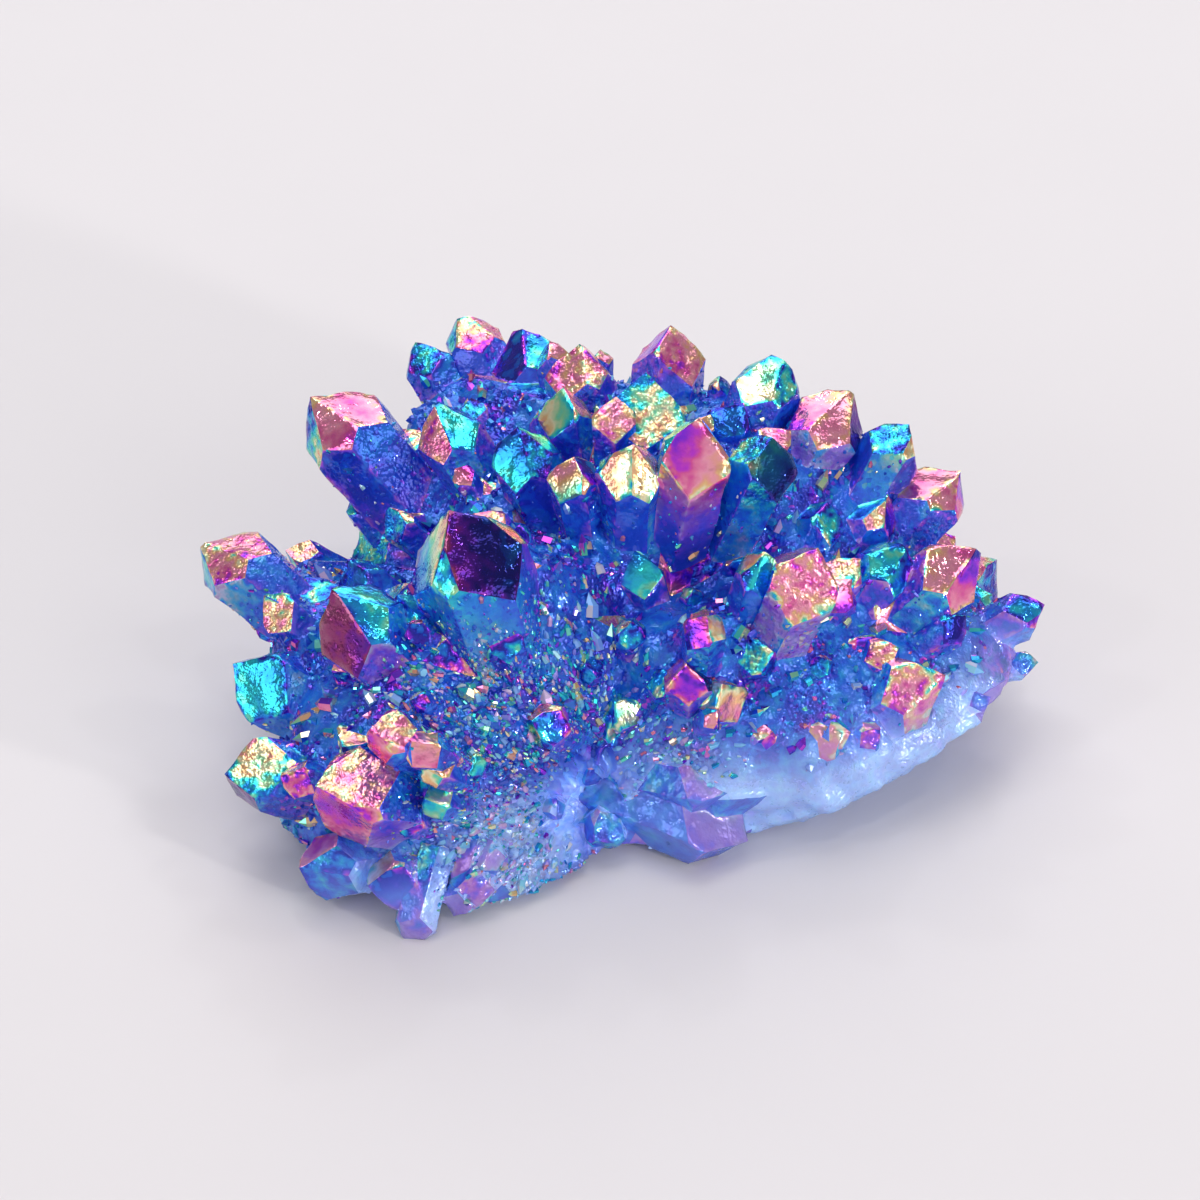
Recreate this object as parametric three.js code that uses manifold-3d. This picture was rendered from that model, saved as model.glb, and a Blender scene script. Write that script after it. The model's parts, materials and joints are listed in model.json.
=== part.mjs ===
// A coated quartz cluster: six-sided points that spread in three sprays from one lumpy foot of milky quartz.
// Millimetres, +Z up, and -Y is the front. The origin is on the table, under the middle of the cluster's box.
import * as THREE from 'three';
import { mergeVertices } from 'three/addons/utils/BufferGeometryUtils.js';
import Module from 'manifold-3d';

const wasm = await Module();
wasm.setup();

// Driving dimensions
const FOOT_HEART = new THREE.Vector3(0, 2, -6); // below the table: the foot's surface is measured from here
const FOOT_DETAIL = 8; // splits of each edge of the ball that the foot is shaped from
const FOOT_BLEND = 0.14; // radians over which one known place on the foot fades into the next
const FOOT_PULL = 1e-5; // how much all the known places bear on a spot that lies far from any
const FOOT_NEAR = 0.01; // radians within which that pull grows no stronger
const FOOT_FLARE = 1.3; // how fast the foot widens from the table up
const FOOT_HEIGHT = 40; // above the highest place on the foot
const FOOT_SIDES = 32; // sides of the foot's outline on the table
const POINT_SHOWS = 0.8; // how much of a point stands clear of the foot, beside its width
const FACE_LEAN = THREE.MathUtils.degToRad(51.8); // a quartz tip face, from the crystal's long axis
const ROOT_TAPER = 0.72; // a point's width where it leaves the foot, beside its width below the tip
const SQUASH = [0.86, 1.12]; // few points are equally wide both ways
const LARGE_FACE = 0.12; // how deep the three large tip faces cut, beside the width
const SMALL_FACE = 0.03; // the three small ones between them
const MAIN_FACE = 0.22; // the one face that takes most of a tip
const SECOND_FACE = 0.2; // a face beside the main one that is nearly as large, on points that show two
const SECOND_TURN = THREE.MathUtils.degToRad(28); // how far such points are turned, so that both show
const FACE_VARIES = [0.6, 1.4]; // every cut is this much shallower or deeper
const TIDY = 0.05; // edges shorter than this are closed up after joining
const SEED = 20;

// The foot's outlines on the table, one under the back and right sprays and one under the left one
const FOOT_OUTLINES = [
  { middle: [2, 4], half: [23, 18.5] },
  { middle: [-15, -9], half: [13, 13] },
];

// Where each spray starts, deep in the foot
const SPRAY_ROOTS = {
  left: new THREE.Vector3(-6, -10, -2),
  back: new THREE.Vector3(0, 4, -4),
  right: new THREE.Vector3(6, -4, -4),
};

// The side that a tip's main face looks to
const LOOKS = {
  up: new THREE.Vector3(0, -0.35, 1),
  front: new THREE.Vector3(0, -1, 0.3),
  front_left: new THREE.Vector3(-0.7, -0.8, 0.3),
  front_right: new THREE.Vector3(0.7, -0.8, 0.3),
  left: new THREE.Vector3(-1, -0.2, 0.3),
  right: new THREE.Vector3(1, -0.2, 0.3),
  back: new THREE.Vector3(0.2, 1, 0.3),
};

// The tip face that is a point's second one, and the way the point turns to show it
const SECONDS = {
  right: { face: 1, turn: -SECOND_TURN },
  left: { face: 5, turn: SECOND_TURN },
};

// Places that the foot's surface passes through, besides those under the points
const FOOT_PLACES = {
  pit: [-4.5, -10.5, 3],
  cleft: [-3.5, -15, 1],
  pit_left: [-9, -14.5, 8],
  druse_top: [-14.5, -11.5, 25.5],
  druse_high: [-11, -12.5, 20],
  druse_middle: [-7.5, -9, 13],
  druse_low: [-11, -16.5, 11],
  valley: [-2.5, 5, 9],
  valley_left: [-13, 5, 9],
  valley_right: [6, 1, 13],
  notch: [-23, 15, 7],
  small_points: [3, -10, 12],
  wall_left: [3, -14, 7],
  wall_middle: [10, -15, 10],
  wall_right: [22, -12.5, 11.5],
  wing: [29, -6.5, 13.5],
  wing_end: [36, 2, 11.5],
  edge_left: [1.5, -16, 1],
  edge_middle: [10.5, -14.5, 1.5],
  edge_right: [18.5, -14, 3],
  edge_far: [25, -12, 5],
  edge_wing: [31, -7.5, 6.5],
  edge_wing_end: [35.5, -2.5, 8],
  skirt_right: [-7, -21.5, 2],
  skirt_middle: [-11, -23.5, 2],
  skirt_left: [-23, -21, 2],
  side_left: [-30, -8, 5],
  side_left_rear: [-28, 6, 6],
  rear_left: [-17, 24, 8],
  rear_middle: [2, 26, 9],
  rear_right: [18, 21, 9],
  rear_end: [30, 12, 8],
};

// The large points: where the tip is, how wide the point is across its sides, and where its main face looks.
// Those around the valley stand further clear of the foot than the others, and the crest less.
const POINTS = {
  left: {
    crest: { tip: [-15.5, -5.5, 31.5], width: 11, look: 'front_right', clear: 0.6 },
    crest_left: { tip: [-20.5, -7, 23], width: 4.2, look: 'front_left' },
    crest_front: { tip: [-11, -11, 23], width: 3.4, look: 'front' },
    druse_right: { tip: [-6, -8, 17.5], width: 3.2, look: 'front_right' },
    shoulder: { tip: [-26.5, -8, 24], width: 8, look: 'front', second: 'right' },
    upper_end: { tip: [-38.5, 7, 18], width: 7.2, look: 'up', second: 'left' },
    upper_end_twin: { tip: [-33, 0, 17], width: 4, look: 'front' },
    saddle: { tip: [-25.5, 1.5, 20], width: 4.5, look: 'front_left' },
    middle_end: { tip: [-35.5, -6, 14], width: 6.8, look: 'front' },
    lower_end: { tip: [-35.5, -16.5, 11], width: 6.2, look: 'up' },
    lower_end_twin: { tip: [-30.5, -18.5, 12], width: 3.5, look: 'front' },
    front: { tip: [-27, -22.5, 14], width: 8.6, look: 'up' },
    front_twin: { tip: [-22, -21, 20], width: 4.2, look: 'up' },
    front_small: { tip: [-18.5, -22, 19], width: 3.2, look: 'front' },
    lath_upper: { tip: [-17.5, -22, 16.5], width: 3, look: 'up' },
    lath_lower: { tip: [-17.5, -22.5, 13], width: 3, look: 'up' },
    skirt_left: { tip: [-29, -23.5, 5], width: 6, look: 'front', second: 'right' },
    skirt_front: { tip: [-22.5, -25.5, 5], width: 4.5, look: 'front' },
    skirt_middle: { tip: [-15, -25, 4], width: 4, look: 'front' },
  },
  back: {
    left_end: { tip: [-29, 20, 25], width: 8.4, look: 'up', second: 'left' },
    left_inner: { tip: [-17.5, 16, 26.5], width: 5.6, look: 'front', second: 'right' },
    left_low: { tip: [-22, 12, 18], width: 4, look: 'front_left' },
    rear_left: { tip: [-19.5, 29.5, 24], width: 5, look: 'front' },
    rear_top: { tip: [-15, 31, 26], width: 5.5, look: 'front_right', second: 'left' },
    rear_inner: { tip: [-10, 27.5, 27], width: 6, look: 'front', second: 'left' },
    rocky_left: { tip: [-6, 16, 28.5], width: 4.5, look: 'front_left' },
    rocky_right: { tip: [-1, 13, 30], width: 4.2, look: 'front' },
    rear_small: { tip: [-7, 24, 28], width: 3, look: 'left' },
    inner_teal: { tip: [-10, 11, 28], width: 6, look: 'front', second: 'right' },
    inner_small: { tip: [-14, 11.5, 22], width: 3.5, look: 'front' },
    round_top: { tip: [-4.5, 22.5, 29], width: 6, look: 'front', second: 'right' },
    broad_top: { tip: [2, 15, 31], width: 7, look: 'front' },
    gap: { tip: [10.5, 13.5, 29], width: 4, look: 'front_left' },
    tall: { tip: [4.5, 22.5, 31], width: 6.5, look: 'front_right' },
    gold: { tip: [-5, 4, 30], width: 4.2, look: 'front_left', clear: 1.4 },
    middle_left: { tip: [0.5, 3, 32], width: 5.2, look: 'front', second: 'right', clear: 1.3 },
    middle: { tip: [7, 4, 34], width: 7, look: 'front', clear: 1.2 },
    middle_right: { tip: [13.5, 5, 31.5], width: 6.2, look: 'front_right', clear: 1.1 },
    right_tall: { tip: [14, 17.5, 31], width: 5.6, look: 'front', second: 'left' },
    right_pink: { tip: [20.5, 15, 29], width: 7, look: 'up', second: 'right' },
    hidden_left: { tip: [-24, 26, 14], width: 6.5, look: 'back', second: 'right' },
    hidden_middle: { tip: [-3, 31, 19], width: 7, look: 'back', second: 'left' },
    hidden_right: { tip: [10, 29, 18], width: 6.5, look: 'back', second: 'right' },
    hidden_low: { tip: [-11, 32, 10], width: 5.5, look: 'back' },
  },
  right: {
    blade: { tip: [26, 14.5, 26], width: 5.2, look: 'front_left' },
    blade_low: { tip: [24, 9, 22], width: 5, look: 'front_left', second: 'right' },
    rear_end: { tip: [30.5, 13, 22], width: 6, look: 'up', second: 'right' },
    pink_end: { tip: [32, 3, 20], width: 7.6, look: 'front', second: 'right' },
    far_tip: { tip: [38.5, 4, 13], width: 4.5, look: 'up' },
    inner_end: { tip: [25.5, 2.5, 21], width: 5.5, look: 'front', second: 'left' },
    inner_high: { tip: [18.5, 6, 23.5], width: 4.5, look: 'front_right' },
    inner_far: { tip: [21, 1, 21], width: 4, look: 'front_left' },
    wing_top: { tip: [25.5, -0.5, 17], width: 4.2, look: 'front' },
    wing_outer: { tip: [31, -1.5, 16], width: 3.6, look: 'front' },
    front_end: { tip: [28.5, -8, 14.5], width: 6.6, look: 'front', second: 'right' },
    inner_pink: { tip: [17, -6, 27], width: 6.8, look: 'front', clear: 1.3 },
    inner_round: { tip: [12.5, -5, 26], width: 4.2, look: 'front', second: 'left', clear: 1.3 },
    inner_low: { tip: [22.5, -4, 16], width: 4.2, look: 'front' },
    arch: { tip: [1, 0.5, 22], width: 4.5, look: 'front', clear: 1.3 },
    front_gold: { tip: [7, -11, 24], width: 3.8, look: 'front_left' },
    front_violet: { tip: [5.5, -12, 19], width: 4, look: 'front' },
    front_low: { tip: [9, -12.5, 17], width: 4, look: 'front_right' },
    pit_teal: { tip: [-1, -11, 14], width: 3.5, look: 'front_right' },
    edge_gold: { tip: [19, -13.5, 12.5], width: 3.5, look: 'front_left' },
    edge_small: { tip: [23, -12, 11.5], width: 2.6, look: 'front' },
    hidden_end: { tip: [35, 11, 12], width: 6, look: 'right' },
    hidden_rear: { tip: [22, 23, 17], width: 7, look: 'back', second: 'left' },
    hidden_rear_low: { tip: [31, 18, 10], width: 5.5, look: 'back' },
  },
};

// Points that start elsewhere than in a spray: two legs that reach the table, and two broad ones lying down
const LOOSE_POINTS = {
  leg: { root: [-16.5, -21, 7], tip: [-19.2, -27, -0.6], width: 3.8, look: 'front' },
  leg_short: { root: [-13, -20, 7], tip: [-15.5, -24.8, 0.8], width: 3.2, look: 'front' },
  lying: { root: [-6, -9, 4], tip: [11, -17, 3.5], width: 7.5, look: 'up' },
  lying_upper: { root: [-5, -8, 4], tip: [9, -16, 8], width: 5, look: 'up' },
};

// The small points that fill the gaps, from low to high on the foot: its rim is at 0 and its top at 1
const FILLER = {
  count: 96,
  width: [2, 4.2],
  rise: [1, 3],
  wander: 0.5,
  slender: 3.5,
  low: 0.33,
  high: 0.97,
};

// The broken wall at the front right, which has no small points
const BARE_WALL = new THREE.Box3(new THREE.Vector3(-2, -40, 0), new THREE.Vector3(40, -7, 12));

// A repeatable run of numbers from 0 to 1
function randomRun(seed) {
  let state = seed;
  return () => {
    state = (state * 1664525 + 1013904223) % 4294967296;
    return state / 4294967296;
  };
}

function between([low, high], random) {
  return low + (high - low) * random();
}

function solidOf(geometry) {
  const bare = geometry.clone().deleteAttribute('normal').deleteAttribute('uv');
  const merged = mergeVertices(bare, 1e-4);
  return new wasm.Manifold(new wasm.Mesh({
    numProp: 3,
    vertProperties: merged.attributes.position.array,
    triVerts: new Uint32Array(merged.index.array),
  }));
}

function geometryOf(solid) {
  const mesh = solid.getMesh();
  const geometry = new THREE.BufferGeometry();
  geometry.setAttribute('position', new THREE.BufferAttribute(mesh.vertProperties, 3));
  geometry.setIndex(new THREE.BufferAttribute(mesh.triVerts, 1));
  geometry.computeVertexNormals();
  return geometry;
}

// A place on the foot, as a direction out from its heart and how far the surface lies that way
function footKnot(place) {
  const arm = place.clone().sub(FOOT_HEART);
  return { reach: arm.length(), direction: arm.normalize() };
}

// The foot swells up around every large point, so that only the point's end stands clear
function knotUnder({ tip, width, clear = POINT_SHOWS }, root) {
  const end = new THREE.Vector3(...tip);
  const down = root.clone().sub(end).normalize();
  return footKnot(end.addScaledVector(down, width * clear));
}

const footKnots = [
  ...Object.values(FOOT_PLACES).map((place) => footKnot(new THREE.Vector3(...place))),
  ...Object.keys(POINTS).flatMap((spray) =>
    Object.values(POINTS[spray]).map((point) => knotUnder(point, SPRAY_ROOTS[spray]))),
];

// How far the foot's surface lies from its heart in one direction, from the known places around it
function footReach(direction) {
  let sum = 0;
  let weights = 0;
  for (const knot of footKnots) {
    const angle = direction.angleTo(knot.direction);
    const weight = Math.exp(-((angle / FOOT_BLEND) ** 2)) + FOOT_PULL / (angle + FOOT_NEAR) ** 2;
    sum += weight * knot.reach;
    weights += weight;
  }
  return sum / weights;
}

// The outline that the foot stands on, widening from the table up
function makeOutline({ middle, half }) {
  const [halfWidth, halfDepth] = half;
  const top = halfWidth + FOOT_FLARE * FOOT_HEIGHT;
  const cone = new THREE.CylinderGeometry(top, halfWidth, FOOT_HEIGHT, FOOT_SIDES);
  cone.rotateX(Math.PI / 2).translate(0, 0, FOOT_HEIGHT / 2).scale(1, halfDepth / halfWidth, 1);
  return solidOf(cone.translate(...middle, 0));
}

// The foot is a ball with every corner pushed out to the foot's surface, kept within the widening outlines
function makeFoot() {
  const ball = new THREE.IcosahedronGeometry(1, FOOT_DETAIL);
  const corners = ball.attributes.position;
  const direction = new THREE.Vector3();
  for (let i = 0; i < corners.count; i++) {
    direction.fromBufferAttribute(corners, i).normalize();
    const corner = direction.clone().multiplyScalar(footReach(direction)).add(FOOT_HEART);
    corners.setXYZ(i, corner.x, corner.y, corner.z);
  }
  return solidOf(ball).intersect(wasm.Manifold.union(FOOT_OUTLINES.map(makeOutline)));
}

// One point along +Z with its tip at the origin: a six-sided prism, cut by six tip faces of unequal size.
// The first face, on the +X side, is the main one.
function makePoint(width, length, second, random) {
  const radius = width / Math.sqrt(3);
  const prism = new THREE.CylinderGeometry(radius, radius * ROOT_TAPER, length, 6, 1);
  prism.rotateX(Math.PI / 2).rotateZ(Math.PI / 6).translate(0, 0, -length / 2);
  prism.scale(1, between(SQUASH, random), 1);
  let solid = solidOf(prism);
  for (let i = 0; i < 6; i++) {
    const turn = (i * Math.PI) / 3;
    const normal = [
      Math.cos(turn) * Math.sin(FACE_LEAN), Math.sin(turn) * Math.sin(FACE_LEAN), Math.cos(FACE_LEAN),
    ];
    const usual = i % 2 === 0 ? LARGE_FACE : SMALL_FACE;
    const depth = i === 0 ? MAIN_FACE : i === SECONDS[second]?.face ? SECOND_FACE : usual;
    const cut = width * depth * between(FACE_VARIES, random);
    solid = solid.trimByPlane(normal.map((n) => -n), cut);
  }
  return solid.translate([0, 0, -solid.boundingBox().max[2]]);
}

// Sets a point's tip and long axis in place, turned so that its main face looks to the given side
function placePoint(solid, tip, axis, look) {
  const along = axis.clone().normalize();
  const side = look.clone().addScaledVector(along, -look.dot(along)).normalize();
  const across = new THREE.Vector3().crossVectors(along, side);
  const place = new THREE.Matrix4().makeBasis(side, across, along).setPosition(tip);
  return solid.transform(place.elements);
}

function growPoint({ tip, width, look, second }, root, random) {
  const end = new THREE.Vector3(...tip);
  const axis = end.clone().sub(root);
  const point = makePoint(width, axis.length(), second, random);
  const turned = LOOKS[look].clone().applyAxisAngle(axis.clone().normalize(), SECONDS[second]?.turn ?? 0);
  return placePoint(point, end, axis, turned);
}

function makeLargePoints(spray, random) {
  return Object.values(POINTS[spray]).map((point) => growPoint(point, SPRAY_ROOTS[spray], random));
}

// Small points stand on the foot, spread evenly over its upper side on a spiral
function makeFillers(random) {
  const goldenTurn = Math.PI * (3 - Math.sqrt(5));
  const points = [];
  for (let i = 0; i < FILLER.count; i++) {
    const height = FILLER.low + ((FILLER.high - FILLER.low) * (i + 0.5)) / FILLER.count;
    const turn = i * goldenTurn;
    const spread = Math.sqrt(1 - height * height);
    const direction = new THREE.Vector3(Math.cos(turn) * spread, Math.sin(turn) * spread, height);
    const width = between(FILLER.width, random);
    const reach = footReach(direction) + between(FILLER.rise, random);
    const tip = direction.clone().multiplyScalar(reach).add(FOOT_HEART);
    const wander = new THREE.Vector3(random() - 0.5, random() - 0.5, random() - 0.5);
    const axis = direction.clone().addScaledVector(wander, FILLER.wander);
    const look = new THREE.Vector3(random() - 0.5, -random(), 0.5);
    if (!BARE_WALL.containsPoint(tip)) {
      points.push(placePoint(makePoint(width, width * FILLER.slender, 'none', random), tip, axis, look));
    }
  }
  return points;
}

function makeCluster() {
  const random = randomRun(SEED);
  const sprays = Object.keys(POINTS).flatMap((spray) => makeLargePoints(spray, random));
  const loose = Object.values(LOOSE_POINTS).map((point) =>
    growPoint(point, new THREE.Vector3(...point.root), random));
  const joined = wasm.Manifold.union([makeFoot(), ...sprays, ...loose, ...makeFillers(random)]);
  const standing = joined.trimByPlane([0, 0, 1], 0);
  const largest = standing.decompose().sort((a, b) => b.volume() - a.volume())[0];
  return largest.simplify(TIDY);
}

// The box's middle and underside become the origin
function centred(geometry) {
  geometry.computeBoundingBox();
  const middle = geometry.boundingBox.getCenter(new THREE.Vector3());
  return geometry.translate(-middle.x, -middle.y, -geometry.boundingBox.min.z);
}

const coatedQuartz = new THREE.MeshStandardMaterial({ color: 0x2f45b8, roughness: 0.18, metalness: 0.55 });
coatedQuartz.flatShading = true;

const cluster = new THREE.Group();
const stone = new THREE.Mesh(centred(geometryOf(makeCluster())), coatedQuartz);
stone.name = 'quartz_cluster';
cluster.add(stone);

export default cluster;
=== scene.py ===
"""Aura quartz cluster: quartz points grown from one foot and coated with a thin metal film.

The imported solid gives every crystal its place. Here it gets its worn and etched relief, the film's
interference colours, the druse of fine crystals between the points, and a plain studio.
"""

import json
import logging
import math
from dataclasses import dataclass, field
from enum import Enum, IntEnum

import bmesh
import bpy
import numpy as np
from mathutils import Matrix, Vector, kdtree, noise

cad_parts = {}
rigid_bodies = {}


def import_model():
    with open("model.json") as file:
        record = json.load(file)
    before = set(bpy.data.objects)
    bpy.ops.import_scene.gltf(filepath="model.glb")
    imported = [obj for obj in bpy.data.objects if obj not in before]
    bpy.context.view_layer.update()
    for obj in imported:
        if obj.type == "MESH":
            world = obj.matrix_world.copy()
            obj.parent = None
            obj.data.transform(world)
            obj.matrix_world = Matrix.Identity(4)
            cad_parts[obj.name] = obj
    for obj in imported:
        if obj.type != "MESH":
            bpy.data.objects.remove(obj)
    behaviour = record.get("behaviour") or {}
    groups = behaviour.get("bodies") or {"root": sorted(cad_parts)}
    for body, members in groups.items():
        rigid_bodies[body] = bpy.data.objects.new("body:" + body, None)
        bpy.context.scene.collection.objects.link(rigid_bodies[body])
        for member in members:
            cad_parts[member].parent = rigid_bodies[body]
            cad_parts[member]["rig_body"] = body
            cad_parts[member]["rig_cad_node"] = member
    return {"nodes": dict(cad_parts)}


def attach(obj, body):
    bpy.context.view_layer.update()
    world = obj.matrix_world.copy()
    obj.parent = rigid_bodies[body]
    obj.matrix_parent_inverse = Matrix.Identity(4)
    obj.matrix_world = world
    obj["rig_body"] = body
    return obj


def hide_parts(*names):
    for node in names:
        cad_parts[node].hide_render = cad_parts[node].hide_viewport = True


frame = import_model()
LOG = logging.getLogger("aura_quartz")
MM = 0.001
# The growth's heart, from which the places below are counted, in mm.
HEART = np.array((0.209, -2.365, 0.0))
# The pit at the front, also from the heart: fine crystals run out from it.
PIT = np.array((-4.5, -10.5, 3.0))


class Skin(IntEnum):
    """What a facet of the body belongs to."""

    FOOT = 0
    UNDERSIDE = 1
    PRISM = 2
    TIP = 3


class Facing(Enum):
    """The way a facet looks, as someone who stands before the broken wall sees it."""

    UP = (0.0, -0.15, 0.99)
    LEFT = (-0.94, 0.0, 0.34)
    FRONT = (0.0, -0.94, 0.34)
    RIGHT = (0.94, 0.0, 0.34)
    BACK = (0.0, 0.94, 0.34)


class Tint(Enum):
    """Named places on the film's run of interference colours."""

    INDIGO = 0.12
    VIOLET = 0.17
    ORCHID = 0.21
    MAGENTA = 0.27
    ROSE = 0.31
    PINK = 0.39
    SALMON = 0.46
    GOLD = 0.54
    CREAM = 0.61
    GREEN = 0.70
    TEAL = 0.79
    CYAN = 0.87
    BLUE = 0.97


@dataclass(frozen=True)
class PointFilm:
    """Film colours of one main crystal, by the way its faces look.

    Attributes:
        tip: Where the crystal ends, from the heart, in mm.
        up, left, front, right: The tints of the tip faces that look that way.
        etched: The ways whose tip faces are rough.
        sides: The tint of its prism's front, or nothing for the usual deep blue.
        rough_sides: Whether its prism's front is rough too.
        painted_shade_ways: The ways whose tip faces are darkened by painted shade, as where they mirror the
            room's dark side.
    """

    tip: tuple[float, float, float]
    up: Tint
    left: Tint
    front: Tint
    right: Tint
    etched: tuple[Facing, ...] = ()
    sides: Tint | None = None
    rough_sides: bool = False
    painted_shade_ways: tuple[Facing, ...] = ()

    def tint(self, way: Facing) -> Tint:
        """Gives the tint of the tip faces that look one way; those at the back have the upper one."""
        tints = {Facing.LEFT: self.left, Facing.FRONT: self.front, Facing.RIGHT: self.right}
        return tints.get(way, self.up)


T, F = Tint, Facing
# The main crystals. Each is known by the place where it ends. Some also name tip faces that get painted shade.
POINT_FILMS = {
    "crest": PointFilm(
        (-15.5, -5.5, 31.5), T.INDIGO, T.GREEN, T.TEAL, T.SALMON, (F.BACK,), T.TEAL, painted_shade_ways=(F.UP,)
    ),
    "crest_left": PointFilm((-20.5, -7, 23), T.TEAL, T.GREEN, T.VIOLET, T.INDIGO),
    "shoulder": PointFilm(
        (-26.5, -8, 24), T.TEAL, T.TEAL, T.ROSE, T.GOLD, (F.RIGHT,), T.MAGENTA, True, painted_shade_ways=(F.FRONT,)
    ),
    "upper_end": PointFilm(
        (-38.5, 7, 18), T.PINK, T.TEAL, T.VIOLET, T.BLUE, (F.UP, F.FRONT), painted_shade_ways=(F.FRONT,)
    ),
    "upper_end_twin": PointFilm((-33, 0, 17), T.SALMON, T.SALMON, T.VIOLET, T.PINK, (F.UP, F.LEFT)),
    "saddle": PointFilm((-25.5, 1.5, 20), T.CYAN, T.BLUE, T.VIOLET, T.VIOLET, (F.UP,)),
    "middle_end": PointFilm((-35.5, -6, 14), T.TEAL, T.CYAN, T.TEAL, T.VIOLET, (), T.TEAL),
    "lower_end": PointFilm(
        (-35.5, -16.5, 11), T.CREAM, T.VIOLET, T.INDIGO, T.TEAL, (F.UP,), painted_shade_ways=(F.FRONT, F.LEFT)
    ),
    "front": PointFilm((-27, -22.5, 14), T.PINK, T.PINK, T.MAGENTA, T.GOLD, (F.UP, F.LEFT), T.MAGENTA),
    "front_twin": PointFilm((-22, -21, 20), T.PINK, T.PINK, T.ROSE, T.SALMON, (F.UP,)),
    "front_small": PointFilm((-18.5, -22, 19), T.PINK, T.ROSE, T.PINK, T.BLUE),
    "lath_upper": PointFilm((-17.5, -22, 16.5), T.GOLD, T.GREEN, T.CREAM, T.SALMON),
    "lath_lower": PointFilm((-17.5, -22.5, 13), T.CREAM, T.GREEN, T.GREEN, T.GOLD),
    "left_end": PointFilm(
        (-29, 20, 25), T.PINK, T.TEAL, T.INDIGO, T.PINK, (F.LEFT, F.FRONT), painted_shade_ways=(F.FRONT, F.RIGHT)
    ),
    "left_inner": PointFilm((-17.5, 16, 26.5), T.TEAL, T.PINK, T.PINK, T.TEAL, (F.LEFT,)),
    "rear_left": PointFilm((-19.5, 29.5, 24), T.CYAN, T.CYAN, T.PINK, T.TEAL, (F.UP,)),
    "rear_top": PointFilm((-15, 31, 26), T.PINK, T.TEAL, T.TEAL, T.PINK, (F.UP, F.FRONT)),
    "rear_inner": PointFilm((-10, 27.5, 27), T.TEAL, T.BLUE, T.GOLD, T.TEAL, (F.FRONT,)),
    "rocky_left": PointFilm((-6, 16, 28.5), T.SALMON, T.CREAM, T.PINK, T.PINK, (F.UP, F.FRONT)),
    "rocky_right": PointFilm((-1, 13, 30), T.PINK, T.CREAM, T.TEAL, T.TEAL, (F.UP, F.FRONT)),
    "inner_teal": PointFilm((-10, 11, 28), T.CYAN, T.TEAL, T.CYAN, T.TEAL, (F.UP,)),
    "round_top": PointFilm((-4.5, 22.5, 29), T.PINK, T.SALMON, T.GOLD, T.PINK, (F.UP,)),
    "broad_top": PointFilm((2, 15, 31), T.CREAM, T.TEAL, T.GREEN, T.GOLD, (F.UP, F.FRONT)),
    "tall": PointFilm((4.5, 22.5, 31), T.PINK, T.VIOLET, T.TEAL, T.ROSE, (F.UP,), painted_shade_ways=(F.RIGHT,)),
    "gold": PointFilm((-5, 4, 30), T.GOLD, T.GOLD, T.GOLD, T.BLUE),
    "middle_left": PointFilm((0.5, 3, 32), T.SALMON, T.GREEN, T.CREAM, T.PINK, (F.UP,)),
    "middle": PointFilm((7, 4, 34), T.ROSE, T.GREEN, T.ROSE, T.TEAL, (F.UP,), T.ORCHID),
    "middle_right": PointFilm(
        (13.5, 5, 31.5), T.TEAL, T.PINK, T.TEAL, T.CYAN, (F.UP, F.FRONT), T.TEAL, True, painted_shade_ways=(F.RIGHT, F.FRONT)
    ),
    "gap": PointFilm((10.5, 13.5, 29), T.BLUE, T.GOLD, T.TEAL, T.BLUE),
    "right_tall": PointFilm(
        (14, 17.5, 31), T.CREAM, T.GREEN, T.TEAL, T.TEAL, (F.FRONT, F.RIGHT), T.BLUE, True
    ),
    "right_pink": PointFilm(
        (20.5, 15, 29), T.PINK, T.GOLD, T.PINK, T.INDIGO, (F.FRONT,), T.SALMON, True, painted_shade_ways=(F.RIGHT,)
    ),
    "blade": PointFilm((26, 14.5, 26), T.TEAL, T.TEAL, T.CYAN, T.GOLD, (F.UP,), T.TEAL),
    "rear_end": PointFilm(
        (30.5, 13, 22), T.PINK, T.TEAL, T.MAGENTA, T.VIOLET, (F.FRONT,), T.BLUE, True, painted_shade_ways=(F.FRONT,)
    ),
    "pink_end": PointFilm((32, 3, 20), T.PINK, T.GREEN, T.PINK, T.MAGENTA),
    "far_tip": PointFilm((38.5, 4, 13), T.CYAN, T.CYAN, T.INDIGO, T.VIOLET, painted_shade_ways=(F.FRONT,)),
    "inner_end": PointFilm((25.5, 2.5, 21), T.TEAL, T.GREEN, T.BLUE, T.CYAN),
    "inner_pink": PointFilm((17, -6, 27), T.PINK, T.GREEN, T.PINK, T.TEAL, (F.FRONT,), T.SALMON, True),
    "inner_round": PointFilm((12.5, -5, 26), T.SALMON, T.GOLD, T.TEAL, T.TEAL, (F.UP,)),
    "front_end": PointFilm((28.5, -8, 14.5), T.PINK, T.TEAL, T.PINK, T.SALMON, (F.FRONT,)),
    "edge_gold": PointFilm((19, -13.5, 12.5), T.CREAM, T.GOLD, T.SALMON, T.TEAL, (F.UP,)),
    "arch": PointFilm((1, 0.5, 22), T.TEAL, T.CYAN, T.TEAL, T.BLUE),
    "front_gold": PointFilm((7, -11, 24), T.GOLD, T.GREEN, T.VIOLET, T.GOLD, painted_shade_ways=(F.LEFT,)),
    "front_violet": PointFilm(
        (5.5, -12, 19), T.VIOLET, T.MAGENTA, T.VIOLET, T.BLUE, (), T.VIOLET, painted_shade_ways=(F.RIGHT,)
    ),
    "front_low": PointFilm((9, -12.5, 17), T.SALMON, T.CREAM, T.SALMON, T.PINK),
    "pit_teal": PointFilm((-1, -11, 14), T.GREEN, T.TEAL, T.CREAM, T.CYAN),
}
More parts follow.
